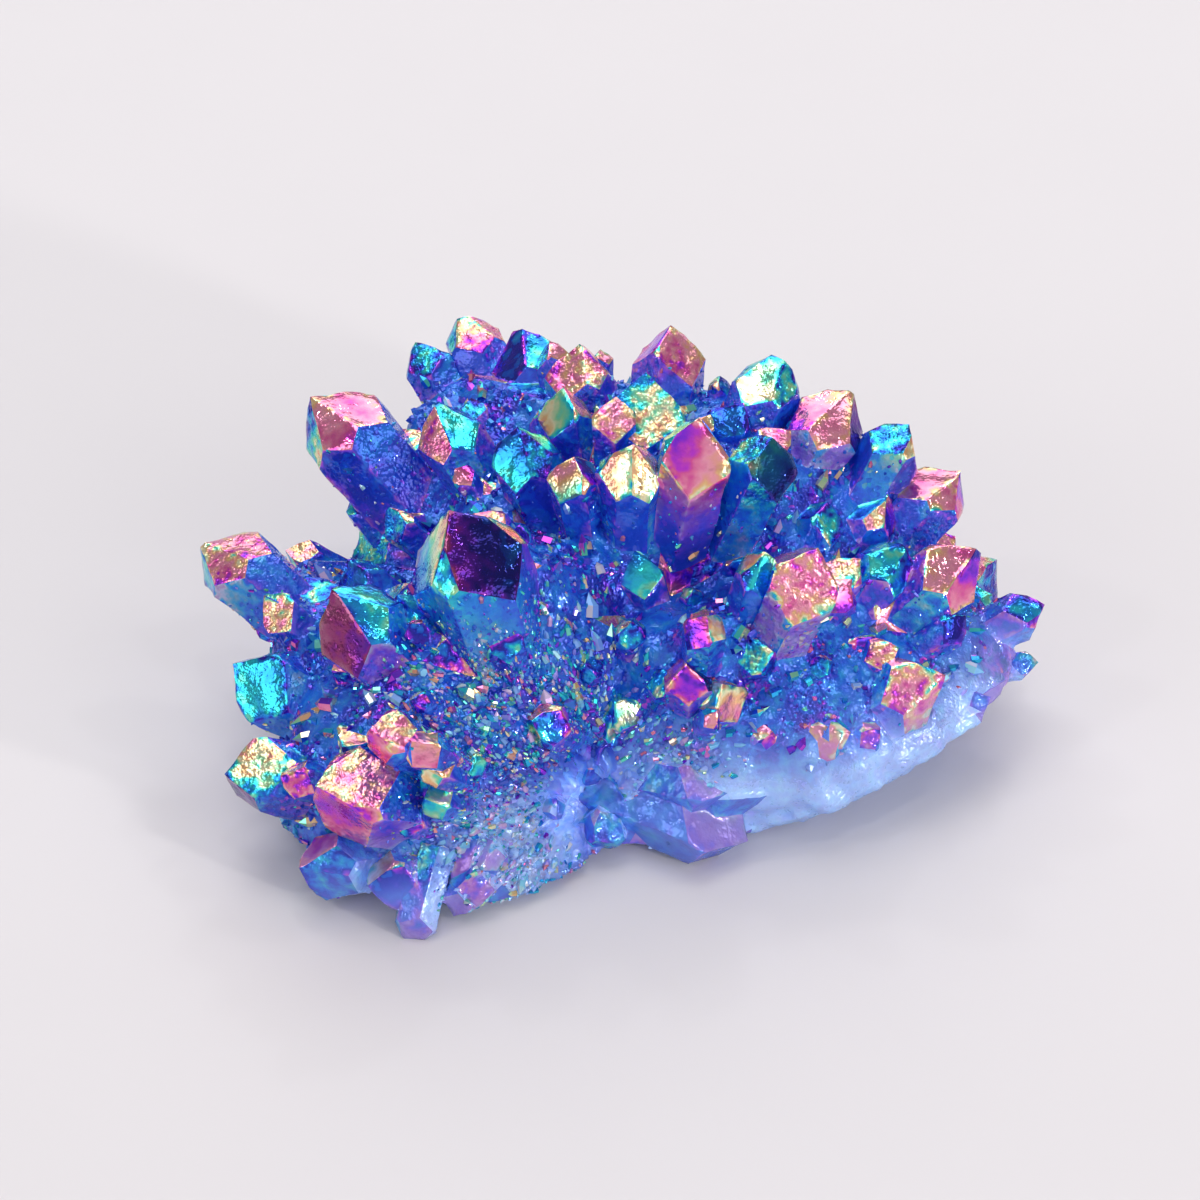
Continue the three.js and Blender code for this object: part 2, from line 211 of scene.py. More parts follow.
# Where on the run the film of the other facets lies: the usual span and a rarer one.
USUAL_SHARE = 0.7
WAY_FILMS = {
    Facing.UP: ((0.33, 0.52), (0.74, 0.90)),
    Facing.LEFT: ((0.50, 0.84), (0.76, 0.98)),
    Facing.FRONT: ((0.82, 1.06), (0.08, 0.40)),
    Facing.RIGHT: ((0.74, 1.02), (0.12, 0.22)),
    Facing.BACK: ((0.33, 0.58), (0.70, 0.92)),
}
# The same for the sides of prisms: blues, and now and then a violet.
SIDE_FILMS = (0.02, 0.12, 0.84, 0.93, 0.97, 1.0)
# How far one facet's film may lie off its chosen place.
FILM_PLAY = (-0.03, 0.03)


@dataclass(frozen=True)
class SoftPlace:
    """A rounded place on the growth, strongest at its middle.

    Attributes:
        centre: Its middle, from the heart, in mm.
        radius: How far it reaches, in mm.
        strength: Its weight at the middle.
    """

    centre: tuple[float, float, float]
    radius: float
    strength: float = 1.0

    def weight(self, points: np.ndarray) -> np.ndarray:
        """Gives the place's weight at each point.

        Args:
            points: Rows of x, y, z in metres.

        Returns:
            One weight for each row, from 0 to the strength.
        """
        away = np.linalg.norm(points / MM - HEART - np.array(self.centre), axis=1)
        near = np.clip(1.0 - away / self.radius, 0.0, 1.0)
        return self.strength * near * near * (3.0 - 2.0 * near)


# Milky quartz at the front: the wall, the pit and the legs.
PALE_PLACES = (
    SoftPlace((6.0, -15.5, 4.0), 12.0, 1.5),
    SoftPlace((18.0, -13.0, 4.0), 12.0, 1.3),
    SoftPlace((27.0, -8.0, 4.0), 12.0, 1.4),
    SoftPlace((35.0, -2.0, 6.0), 11.0, 1.2),
    SoftPlace((-4.5, -12.0, 3.5), 9.0, 1.0),
    SoftPlace((-9.5, -17.0, 4.0), 9.0, 0.9),
    SoftPlace((-13.0, -21.0, 3.0), 11.0, 1.0),
    SoftPlace((-25.0, -24.0, 2.0), 9.0, 1.0),
    SoftPlace((-18.5, -26.5, 0.0), 7.0, 1.5),
)
# The rough wall at the front right, where the growth broke off.
BROKEN_WALL = (
    SoftPlace((14.0, -15.0, 4.0), 10.0, 1.3),
    SoftPlace((23.0, -11.0, 4.0), 10.0, 1.4),
    SoftPlace((31.0, -5.0, 4.0), 9.0, 1.3),
)
# Between the points, where the foot stays smooth.
BARE_VALLEY = (
    SoftPlace((4.0, -2.0, 14.0), 13.0, 1.2),
    SoftPlace((20.0, 4.0, 18.0), 10.0, 0.8),
)
# The violet end of the foot at the right.
LILAC_WING = (SoftPlace((36.0, 0.0, 7.0), 9.0, 1.5),)
# The slope around the pit, where slim crystals run out from it.
RAY_PLACES = (
    SoftPlace((-11.0, -13.0, 13.0), 17.0, 1.4),
    SoftPlace((-9.0, -18.0, 6.0), 14.0, 1.1),
    SoftPlace((2.0, -12.0, 7.0), 11.0, 0.9),
)


def total_weight(places: tuple[SoftPlace, ...], points: np.ndarray) -> np.ndarray:
    """Adds up the weights of several places.

    Args:
        places: The places.
        points: Rows of x, y, z in metres.

    Returns:
        One weight for each row, at most 1.
    """
    return np.clip(sum(place.weight(points) for place in places), 0.0, 1.0)


def linear(code: str) -> tuple[float, float, float, float]:
    """Turns an sRGB hex colour into linear red, green, blue and alpha.

    Args:
        code: Six hex digits after a #.

    Returns:
        The colour as shader sockets take it.
    """
    parts = (int(code[i:i + 2], 16) / 255 for i in (1, 3, 5))
    red, green, blue = (p / 12.92 if p <= 0.04045 else ((p + 0.055) / 1.055) ** 2.4 for p in parts)
    return (red, green, blue, 1.0)


def add_node(tree: bpy.types.NodeTree, kind: str, inputs: dict | None = None, **settings) -> bpy.types.Node:
    """Adds a node with its settings, and sets or links its inputs.

    Args:
        tree: The node tree to add to.
        kind: The node's type name.
        inputs: For each input, by name or place, a value or the output socket to link.
        **settings: The node's own properties.

    Returns:
        The new node.
    """
    node = tree.nodes.new(kind)
    for name, value in settings.items():
        setattr(node, name, value)
    for key, value in (inputs or {}).items():
        if isinstance(value, bpy.types.NodeSocket):
            tree.links.new(value, node.inputs[key])
        else:
            node.inputs[key].default_value = value
    return node


def pick(piece: bpy.types.Object) -> None:
    """Selects one object alone and makes it the active one."""
    bpy.ops.object.select_all(action="DESELECT")
    piece.select_set(True)
    bpy.context.view_layer.objects.active = piece


def corner_values(mesh: bpy.types.Mesh, name: str, values: np.ndarray) -> None:
    """Stores one number for each face corner under a name that materials read.

    Args:
        mesh: The mesh to store them on.
        name: The attribute's name.
        values: The numbers, in corner order.
    """
    layer = mesh.attributes.new(name, "FLOAT", "CORNER")
    layer.data.foreach_set("value", np.asarray(values, np.float32))


@dataclass(frozen=True)
class CoatedQuartz:
    """Quartz steamed with a thin metal film.

    To the eye it is a glassy blue body with mirror faces in interference colours, milky at its base.

    Attributes:
        name: The material's name.
        film_run: Places and sRGB colours of the film as it thickens.
        deep, clear: sRGB colours of the body and its thin places.
        pale, lilac: sRGB colours of its milky base.
        painted_shade: sRGB colour that the film is multiplied by where shade is painted on it.
        swirl_mm: Size of the film's slow changes of thickness.
        lump_mm: Size of the pits in it, drawn coarser than real ones so that they show.
        grain_mm: Size of the etched grain.
        grain_depth_mm: Depth of that grain.
        detail: How many finer layers the swirls, pits and grain have.
        film_drift: How far the slow changes move the film along its run.
        pit_drift: The same for the pits.
        rim_mm: Width of the changed film along the edges, which also serves as a painted highlight there.
        rim_breaks: Heights of the pits' pattern between which that rim comes in.
        spark_mm: Size of the tiny crystal faces that sparkle in the crust.
        spark_lots: The random numbers between which such a face turns bright.
        spark_coat: Strength of a bright one's film.
        spark_shift: How far along its run that film is spread, and where the spread starts.
        metal: Rise of the metal look with the film, and what bare quartz has of it.
        murk: Rise of the scattered light with the milk, and what clear quartz has of it.
        gloss: Roughness of the film.
        milk_dull, grain_dull: What milk and grain add to the roughness.
        grain_height: Rise of the grain with the etching, and what a smooth face has of it.
        scatter_mm: How far light wanders inside the quartz, or 0 for not at all.
    """

    name: str
    film_run: tuple[tuple[float, str], ...] = (
        (0.00, "#1D2CA6"),
        (0.09, "#3A24AC"),
        (0.17, "#8A2BE0"),
        (0.25, "#C43BD2"),
        (0.30, "#E0589F"),
        (0.36, "#EE84AA"),
        (0.42, "#F6A2B8"),
        (0.48, "#F2A896"),
        (0.54, "#F2C383"),
        (0.61, "#F7F1C2"),
        (0.69, "#8FE0A8"),
        (0.78, "#2FD6D2"),
        (0.87, "#1F9CE2"),
        (1.00, "#2048CC"),
    )
    deep: str = "#1032B8"
    clear: str = "#2A64E6"
    pale: str = "#A4CEF6"
    lilac: str = "#9CACF2"
    painted_shade: str = "#A090A4"
    swirl_mm: float = 2.6
    lump_mm: float = 1.1
    grain_mm: float = 0.38
    grain_depth_mm: float = 0.14
    detail: float = 1.5
    film_drift: float = 0.17
    pit_drift: float = 0.6
    rim_mm: float = 0.40
    rim_breaks: tuple[float, float] = (0.42, 0.60)
    spark_mm: float = 0.42
    spark_lots: tuple[float, float] = (0.70, 0.76)
    spark_coat: float = 0.95
    spark_shift: tuple[float, float] = (0.66, -0.28)
    metal: tuple[float, float] = (0.80, 0.03)
    murk: tuple[float, float] = (0.6, 0.4)
    gloss: float = 0.05
    milk_dull: float = 0.2
    grain_dull: float = 0.07
    grain_height: tuple[float, float] = (0.9, 0.12)
    scatter_mm: float = 4.0

    def build(self) -> bpy.types.Material:
        """Builds the material.

        Returns:
            A node material that reads its mesh's corner values by name.
        """
        if self.name in bpy.data.materials:
            return bpy.data.materials[self.name]
        material = bpy.data.materials.new(self.name)
        material.use_nodes = True
        tree = material.node_tree
        tree.nodes.clear()
        place = add_node(tree, "ShaderNodeTexCoord").outputs["Object"]
        film, rim, edge, etch, coat, milk, painted_shade, spark = (
            add_node(tree, "ShaderNodeAttribute", attribute_name=name).outputs["Fac"]
            for name in ("film", "rim", "edge", "etch", "coat", "milk", "painted_shade", "spark")
        )
        # Tiny faces sugar the crust: each lies its own way, and about a quarter of them glint.
        cells = add_node(
            tree, "ShaderNodeTexVoronoi", {"Vector": place, "Scale": 1 / (self.spark_mm * MM)}
        ).outputs
        lots = add_node(tree, "ShaderNodeSeparateColor", {"Color": cells["Color"]}).outputs
        least, most = self.spark_lots
        bright = add_node(
            tree,
            "ShaderNodeMapRange",
            {"Value": lots[0], "From Min": least, "From Max": most, "To Max": self.spark_coat},
        ).outputs[0]
        bright = add_node(tree, "ShaderNodeMath", {0: bright, 1: spark}, operation="MULTIPLY").outputs[0]
        coat = add_node(tree, "ShaderNodeMath", {0: coat, 1: bright}, operation="MAXIMUM").outputs[0]
        swirl, lumps, grain = (
            add_node(
                tree,
                "ShaderNodeTexNoise",
                {"Vector": place, "Scale": 1 / (size * MM), "Detail": self.detail},
            ).outputs["Fac"]
            for size in (self.swirl_mm, self.lump_mm, self.grain_mm)
        )
        drift, shift, metal, murk, dull, height = (
            add_node(
                tree, "ShaderNodeMath", {0: value, 1: rise, 2: start}, operation="MULTIPLY_ADD"
            ).outputs[0]
            for value, (rise, start) in (
                (swirl, (self.film_drift, -self.film_drift / 2)),
                (lots[1], self.spark_shift),
                (coat, self.metal),
                (milk, self.murk),
                (milk, (self.milk_dull, self.gloss)),
                (etch, self.grain_height),
            )
        )
        # The film is thinner or thicker along every edge, over its slow swirls and in its etched pits. The edge
        # band also serves as a painted highlight on the crystals' edges.
        fall = add_node(tree, "ShaderNodeMath", {0: edge, 1: -1 / self.rim_mm}, operation="MULTIPLY").outputs[0]
        fall = add_node(tree, "ShaderNodeMath", {0: fall}, operation="EXPONENT").outputs[0]
        least, most = self.rim_breaks
        broken = add_node(
            tree, "ShaderNodeMapRange", {"Value": lumps, "From Min": least, "From Max": most}
        ).outputs[0]
        fall = add_node(tree, "ShaderNodeMath", {0: fall, 1: broken}, operation="MULTIPLY").outputs[0]
        pits = add_node(tree, "ShaderNodeMath", {0: lumps, 1: -0.5}, operation="ADD").outputs[0]
        pits = add_node(tree, "ShaderNodeMath", {0: pits, 1: self.pit_drift}, operation="MULTIPLY").outputs[0]
        thickness = film
        for amount, share in ((rim, fall), (pits, etch), (drift, 1.0), (bright, shift)):
            thickness = add_node(
                tree, "ShaderNodeMath", {0: amount, 1: share, 2: thickness}, operation="MULTIPLY_ADD"
            ).outputs[0]
        # Past its end the run starts again, as interference colours do.
        thickness = add_node(tree, "ShaderNodeMath", {0: thickness}, operation="FRACT").outputs[0]
        run = add_node(tree, "ShaderNodeValToRGB", {"Fac": thickness})
        ramp = run.color_ramp
        while len(ramp.elements) < len(self.film_run):
            ramp.elements.new(0.5)
        for element, (position, code) in zip(ramp.elements, self.film_run):
            element.position = position
            element.color = linear(code)
        # Painted shade: on the faces chosen for it, the film's colour is darkened.
        mirror = add_node(
            tree,
            "ShaderNodeMix",
            {0: painted_shade, 6: run.outputs["Color"], 7: linear(self.painted_shade)},
            data_type="RGBA",
            blend_type="MULTIPLY",
        ).outputs[2]
        body, chalk = (
            add_node(
                tree, "ShaderNodeMix", {0: pattern, 6: linear(one), 7: linear(two)}, data_type="RGBA"
            ).outputs[2]
            for pattern, one, two in ((swirl, self.deep, self.clear), (lumps, self.pale, self.lilac))
        )
        ground = add_node(tree, "ShaderNodeMix", {0: milk, 6: body, 7: chalk}, data_type="RGBA").outputs[2]
        colour = add_node(tree, "ShaderNodeMix", {0: coat, 6: ground, 7: mirror}, data_type="RGBA").outputs[2]
        rough = add_node(
            tree, "ShaderNodeMath", {0: grain, 1: self.grain_dull, 2: dull}, operation="MULTIPLY_ADD"
        ).outputs[0]
        # The relief: etched grain, and the tiny faces of the crust.
        height = add_node(tree, "ShaderNodeMath", {0: grain, 1: height}, operation="MULTIPLY").outputs[0]
        height = add_node(
            tree, "ShaderNodeMath", {0: cells["Distance"], 1: spark, 2: height}, operation="MULTIPLY_ADD"
        ).outputs[0]
        relief = add_node(
            tree, "ShaderNodeBump", {"Height": height, "Strength": 1.0, "Distance": self.grain_depth_mm * MM}
        ).outputs[0]
        shader = add_node(
            tree,
            "ShaderNodeBsdfPrincipled",
            {
                "Base Color": colour,
                "Metallic": metal,
                "Roughness": rough,
                # Quartz bends light a little more than window glass.
                "IOR": 1.54,
                "Normal": relief,
                # A thin clear gloss over the film, which gives small white lights.
                "Coat Weight": 0.15,
                "Coat Roughness": 0.04,
                "Coat Normal": relief,
                "Subsurface Weight": murk if self.scatter_mm else 0.0,
                # Blue light wanders farthest, so that the milky base looks lit from inside.
                "Subsurface Radius": (0.3, 0.55, 1.0),
                "Subsurface Scale": self.scatter_mm * MM,
            },
            subsurface_method="BURLEY",
        )
        add_node(tree, "ShaderNodeOutputMaterial", {"Surface": shader.outputs[0]})
        return material


@dataclass
class QuartzBody:
    """The joined points and their foot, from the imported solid, with worn relief and film.

    Attributes:
        weld_mm: Points nearer than this are one.
        edge_mm: The longest edge after refining.
        ray_edge_mm: The same where ridges run out from the pit.
        rounds: How often long edges are split at most.
        table_mm: Points lower than this stand on the table and stay as they are.
        flat_deg: Edges flatter than this lie inside one facet.
        soft_deg: Edges flatter than this are the foot's.
        foot_share: A facet with a greater share of such edges is the foot's.
        join_deg, join_mm: Convex edges sharper and longer than this join facets into one crystal.
        spray_roots: Where the three sprays start, from the heart, in mm.
        tip_lean: Cosine between a tip face's direction and its crystal's axis, as quartz grows.
        tip_least: Facets with a greater cosine are tip faces.
        name_mm: How near its place a named crystal has to end.
        etched_share: Share of the faces without a chosen film that are rough.
        ray_depth_mm: Height of the ridges that run out from the pit.
        pit_mm: Radius around the pit that stays clear of fine crystals.
        rim_play: Least and greatest change of the film along a facet's edges.
        face_lean: How fast the film changes over a facet, for each mm.
        smooth_deg: Edges flatter than this are shaded smooth.
        seed: Start of the random numbers.
    """

    weld_mm: float = 0.002
    edge_mm: float = 0.83
    ray_edge_mm: float = 0.47
    rounds: int = 8
    table_mm: float = 0.02
    flat_deg: float = 1.0
    soft_deg: float = 30.0
    foot_share: float = 0.3
    join_deg: float = 24.0
    join_mm: float = 0.15
    spray_roots: tuple[tuple[float, float, float], ...] = ((-6, -10, -2), (0, 4, -4), (6, -4, -4))
    tip_lean: float = 0.618
    tip_least: float = 0.33
    name_mm: float = 2.0
    etched_share: float = 0.5
    ray_depth_mm: float = 1.5
    pit_mm: float = 6.0
    rim_play: tuple[float, float] = (0.10, 0.34)
    face_lean: float = 0.05
    smooth_deg: float = 32.0
    seed: int = 7
    piece: bpy.types.Object = field(init=False)
    kind: np.ndarray = field(init=False)
    crystal: np.ndarray = field(init=False)
    normal: np.ndarray = field(init=False)
    centre: np.ndarray = field(init=False)
    tips: dict[int, np.ndarray] = field(init=False)
    reach: dict[int, float] = field(init=False)
    etched: np.ndarray = field(init=False)
    way: list[Facing] = field(init=False)
    named: dict[int, PointFilm] = field(init=False)
    ridges: np.ndarray = field(init=False)
    points: np.ndarray = field(init=False)
    corner_vertex: np.ndarray = field(init=False)
    corner_facet: np.ndarray = field(init=False)
    face_facet: np.ndarray = field(init=False)
    edge_distance: np.ndarray = field(init=False)

    def build(self) -> bpy.types.Object:
        """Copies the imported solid, refines it and carves its relief.

        Returns:
            The finished piece, which stands for the solid.
        """
        node = frame["nodes"]["quartz_cluster"]
        self.piece = node.copy()
        self.piece.data = node.data.copy()
        self.piece.name = "quartz_body"
        self.piece.data.name = "quartz_body"
        bpy.context.scene.collection.objects.link(self.piece)
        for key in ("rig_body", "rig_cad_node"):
            if key in self.piece:
                del self.piece[key]
        self.piece.parent = None
        self._weld()
        self._sort_facets()
        self._refine()
        self._read()
        self._choose_etched()
        self._carve()
        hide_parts("quartz_cluster")
        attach(self.piece, "root")
        return self.piece

    def _weld(self) -> None:
        """Merges the copy's loose triangles."""
        pick(self.piece)
        bpy.ops.object.mode_set(mode="EDIT")
        bpy.ops.mesh.select_all(action="SELECT")
        bpy.ops.mesh.remove_doubles(threshold=self.weld_mm * MM)
        bpy.ops.mesh.dissolve_degenerate(threshold=self.weld_mm * MM)
        bpy.ops.object.mode_set(mode="OBJECT")

    def _sort_facets(self) -> None:
        """Finds the flat facets, and which of them are foot, underside, prism or tip."""
        mesh = bmesh.new()
        mesh.from_mesh(self.piece.data)
        layer = mesh.faces.layers.int.new("facet")
        mesh.faces.ensure_lookup_table()
        facet = [-1] * len(mesh.faces)
        count = 0
        for first in mesh.faces:
            if facet[first.index] >= 0:
                continue
            facet[first.index] = count
            waiting = [first]
            while waiting:
                for edge in waiting.pop().edges:
                    if edge.calc_face_angle(9.0) < math.radians(self.flat_deg):
                        for face in edge.link_faces:
                            if facet[face.index] < 0:
                                facet[face.index] = count
                                waiting.append(face)
            count += 1
        area = np.zeros(count)
        self.normal = np.zeros((count, 3))
        self.centre = np.zeros((count, 3))
        for face in mesh.faces:
            face[layer] = facet[face.index]
            size = face.calc_area()
            area[facet[face.index]] += size
            self.normal[facet[face.index]] += np.array(face.normal) * size
            self.centre[facet[face.index]] += np.array(face.calc_center_median()) * size
        area = np.maximum(area, 1e-14)
        self.centre /= area[:, None]
        self.normal /= np.maximum(np.linalg.norm(self.normal, axis=1), 1e-14)[:, None]
        rim = np.zeros(count)
        soft = np.zeros(count)
        joins = []
        for edge in mesh.edges:
            if len(edge.link_faces) != 2:
                continue
            one, two = (facet[face.index] for face in edge.link_faces)
            if one == two:
                continue
            angle = edge.calc_face_angle(0.0)
            length = edge.calc_length()
            for side in (one, two):
                rim[side] += length
                soft[side] += length * (angle < math.radians(self.soft_deg))
            if edge.is_convex and angle > math.radians(self.join_deg) and length > self.join_mm * MM:
                joins.append((one, two))
        self.kind = np.full(count, int(Skin.PRISM))
        self.kind[soft > self.foot_share * np.maximum(rim, 1e-14)] = Skin.FOOT
        self.kind[(self.normal[:, 2] < -0.99) & (self.centre[:, 2] < 0.1 * MM)] = Skin.UNDERSIDE
        self.crystal = self._group(count, joins)
        self._find_tips(mesh, facet, area)
        mesh.to_mesh(self.piece.data)
        mesh.free()

    def _group(self, count: int, joins: list[tuple[int, int]]) -> np.ndarray:
        """Joins facets that meet over convex edges into crystals.

        Args:
            count: How many facets there are.
            joins: Pairs of facets that meet so.

        Returns:
            Each facet's crystal number, or -1 on the foot and underside.
        """
        parent = list(range(count))

        def root(item: int) -> int:
            """Follows the links of one facet to its crystal's first facet."""
            while parent[item] != item:
                parent[item] = parent[parent[item]]
                item = parent[item]
            return item

        for one, two in joins:
            if self.kind[one] == Skin.PRISM and self.kind[two] == Skin.PRISM:
                parent[root(one)] = root(two)
        return np.array([root(i) if self.kind[i] == Skin.PRISM else -1 for i in range(count)])

    def _find_tips(self, mesh: bmesh.types.BMesh, facet: list[int], area: np.ndarray) -> None:
        """Finds each crystal's tip and length, and marks its tip faces.

        Args:
            mesh: The welded solid.
            facet: Each face's facet number.
            area: Each facet's area.
        """
        corners: dict[int, list] = {}
        for face in mesh.faces:
            group = self.crystal[facet[face.index]]
            if group >= 0:
                corners.setdefault(int(group), []).extend(tuple(v.co) for v in face.verts)
        self.tips = {}
        self.reach = {}
        for group, spots in corners.items():
            spots = np.array(spots)
            facets = np.flatnonzero(self.crystal == group)
            best = None
            for spray in self.spray_roots:
                start = (np.array(spray) + HEART) * MM
                tip = spots[np.argmax(np.linalg.norm(spots - start, axis=1))]
                axis = (tip - start) / np.linalg.norm(tip - start)
                lean = self.normal[facets] @ axis
                miss = np.minimum(np.abs(lean), np.abs(lean - self.tip_lean)) @ area[facets]
                if best is None or miss < best[0]:
                    best = (miss, tip, lean)
            self.tips[group] = best[1]
            self.reach[group] = float(np.linalg.norm(spots - best[1], axis=1).max())
            self.kind[facets[best[2] > self.tip_least]] = Skin.TIP

    def _refine(self) -> None:
        """Splits long edges until the surface can take fine relief."""
        mesh = self.piece.data
        pick(self.piece)
        for _ in range(self.rounds):
            points = np.empty(len(mesh.vertices) * 3)
            mesh.vertices.foreach_get("co", points)
            points = points.reshape(-1, 3)
            ends = np.empty(len(mesh.edges) * 2, np.int32)
            mesh.edges.foreach_get("vertices", ends)
            ends = ends.reshape(-1, 2)
            length = np.linalg.norm(points[ends[:, 0]] - points[ends[:, 1]], axis=1)
            low = (points[ends, 2] < self.table_mm * MM).all(axis=1)
            rays = total_weight(RAY_PLACES, points[ends].mean(axis=1)) > 0.25
            chosen = (length > np.where(rays, self.ray_edge_mm, self.edge_mm) * MM) & ~low
            if not chosen.any():
                break
            bpy.ops.object.mode_set(mode="EDIT")
            bpy.ops.mesh.select_mode(type="EDGE")
            bpy.ops.mesh.select_all(action="DESELECT")
            bpy.ops.object.mode_set(mode="OBJECT")
            mesh.edges.foreach_set("select", chosen)
            bpy.ops.object.mode_set(mode="EDIT")
            bpy.ops.mesh.subdivide(number_cuts=1)
            bpy.ops.mesh.select_all(action="SELECT")
            bpy.ops.mesh.quads_convert_to_tris(quad_method="SHORTEST_DIAGONAL", ngon_method="BEAUTY")
            bpy.ops.object.mode_set(mode="OBJECT")

    def _read(self) -> None:
        """Reads the refined mesh into arrays, with each point's distance from the facet edges."""
        mesh = self.piece.data
        self.points = np.empty(len(mesh.vertices) * 3)
        mesh.vertices.foreach_get("co", self.points)
        self.points = self.points.reshape(-1, 3)
        self.corner_vertex = np.empty(len(mesh.loops), np.int32)
        mesh.loops.foreach_get("vertex_index", self.corner_vertex)
        self.face_facet = np.empty(len(mesh.polygons), np.int32)
        mesh.attributes["facet"].data.foreach_get("value", self.face_facet)
        self.corner_facet = np.repeat(self.face_facet, 3)
        # A point whose corners lie on two facets is on an edge; the foot's facets count as one.
        merged = np.where(self.kind == Skin.FOOT, -1, np.arange(len(self.kind)))[self.corner_facet]
        lowest = np.full(len(self.points), 1 << 30)
        highest = np.full(len(self.points), -2)
        np.minimum.at(lowest, self.corner_vertex, merged)
        np.maximum.at(highest, self.corner_vertex, merged)
        rim = np.flatnonzero(lowest != highest)
        tree = kdtree.KDTree(len(rim))
        for spot in rim:
            tree.insert(self.points[spot], int(spot))
        tree.balance()
        self.edge_distance = np.array([tree.find(p)[2] for p in self.points]) / MM

    def _choose_etched(self) -> None:
        """Decides which tip faces are rough, and finds the named crystals."""
        rng = np.random.default_rng(self.seed)
        self.etched = (self.kind >= Skin.PRISM) & (rng.random(len(self.kind)) < self.etched_share)
        looks = np.array([way.value for way in Facing])
        way = np.argmax(self.normal @ looks.T, axis=1)
        self.way = [list(Facing)[i] for i in way]
        self.named = {}
        for group, tip in self.tips.items():
            spot = tip / MM - HEART
            away = {name: np.linalg.norm(spot - np.array(film.tip)) for name, film in POINT_FILMS.items()}
            name = min(away, key=away.get)
            if away[name] < self.name_mm:
                self.named[group] = POINT_FILMS[name]
        for i in np.flatnonzero(self.crystal >= 0):
            film = self._own_film(i)
            if film and self.kind[i] == Skin.TIP:
                self.etched[i] = self.way[i] in film.etched
            elif film and film.sides:
                self.etched[i] = film.rough_sides and self.way[i] is Facing.FRONT

    def _own_film(self, facet: int) -> PointFilm | None:
        """Gives the chosen film of the crystal that a facet is on, if it has one."""
        return self.named.get(int(self.crystal[facet]))

    def _share(self, chosen: np.ndarray) -> np.ndarray:
        """Gives the share of the corners at each point whose facets are chosen.

        Args:
            chosen: A truth or weight for each facet.

        Returns:
            One share for each point.
        """
        total = np.bincount(self.corner_vertex, minlength=len(self.points))
        own = chosen[self.corner_facet]
        part = np.bincount(self.corner_vertex, weights=own, minlength=len(self.points))
        return part / np.maximum(total, 1)

    def down(self, spots: np.ndarray, facet: np.ndarray) -> np.ndarray:
        """Tells how far down its crystal each spot is.

        Args:
            spots: Rows of x, y, z in metres.
            facet: The facet that each spot is on.

        Returns:
            One number for each spot: 0 at the tip, 1 at the root, and 1 on the foot.
        """
        groups = self.crystal[facet]
        share = np.ones(len(spots))
        for group, tip in self.tips.items():
            own = np.flatnonzero(groups == group)
            away = np.linalg.norm(spots[own] - tip, axis=1)
            share[own] = away / max(self.reach[group], 1e-6)
        return share

    def _displace(self, name: str, size_mm: float, depth_mm: float, weights: np.ndarray) -> None:
        """Pushes the surface in and out by a cloudy pattern and applies it.

        Args:
            name: The pattern's name.
            size_mm: Size of its lumps.
            depth_mm: Its whole height.
            weights: How much of it each point takes.
        """
        group = self.piece.vertex_groups.new(name=name)
        steps = 10
        for level in range(1, steps + 1):
            spots = np.flatnonzero(np.round(weights * steps).astype(int) == level)
            if len(spots):
                group.add(spots.tolist(), level / steps, "REPLACE")
        pattern = bpy.data.textures.new(name, "CLOUDS")
        pattern.noise_scale = size_mm * MM
        push = self.piece.modifiers.new(name, "DISPLACE")
        push.texture = pattern
        push.texture_coords = "LOCAL"
        push.vertex_group = name
        push.strength = depth_mm * MM
        push.mid_level = 0.5
        pick(self.piece)
        bpy.ops.object.modifier_apply(modifier=name)
        self.piece.vertex_groups.clear()

    def _carve(self) -> None:
        """Rounds the foot, roughens the etched faces and breaks up the wall."""
        # Etching fades towards the edges, and the other relief towards the table.
        foot = self._share(self.kind == Skin.FOOT)
        wall = total_weight(BROKEN_WALL, self.points) * foot
        etched = self._share(self.etched) * np.clip(self.edge_distance / 0.6, 0.0, 1.0)
        low = np.clip(self.points[:, 2] / (1.5 * MM), 0.0, 1.0)
        round_off = self.piece.vertex_groups.new(name="foot")
        round_off.add(np.flatnonzero(foot > 0.99).tolist(), 1.0, "REPLACE")
        smooth = self.piece.modifiers.new("round_off", "SMOOTH")
        smooth.vertex_group = "foot"
        smooth.factor = 0.5
        smooth.iterations = 6
        pick(self.piece)
        bpy.ops.object.modifier_apply(modifier="round_off")
        self.piece.vertex_groups.clear()
        plain = foot * low * (1.0 - 0.75 * total_weight(RAY_PLACES, self.points))
        # Each pattern's size and height in mm, and where it works.
        for name, size, depth, weights in (
            ("foot_lumps", 2.4, 1.0, plain * (1.0 - 0.6 * wall)),
            ("foot_grain", 0.9, 0.4, plain * (1.0 - wall)),
            ("wall_lumps", 3.0, 1.8, wall * low),
            ("grown_waves", 3.4, 0.7, (1.0 - foot) * low),
            ("etched_faces", 0.9, 0.6, etched),
        ):
            self._displace(name, size, depth, weights)
        mesh = self.piece.data
        self.points, normals = np.empty((2, len(mesh.vertices), 3))
        mesh.vertices.foreach_get("co", self.points.ravel())
        mesh.vertices.foreach_get("normal", normals.ravel())
        depth = self._fused_rays() * foot * low * (1.0 - wall)
        self.points = self.points + normals * depth[:, None] * self.ray_depth_mm * MM
        self.points[:, 2] = np.maximum(self.points[:, 2], 0.0)
        mesh.vertices.foreach_set("co", self.points.ravel())
        mesh.update()

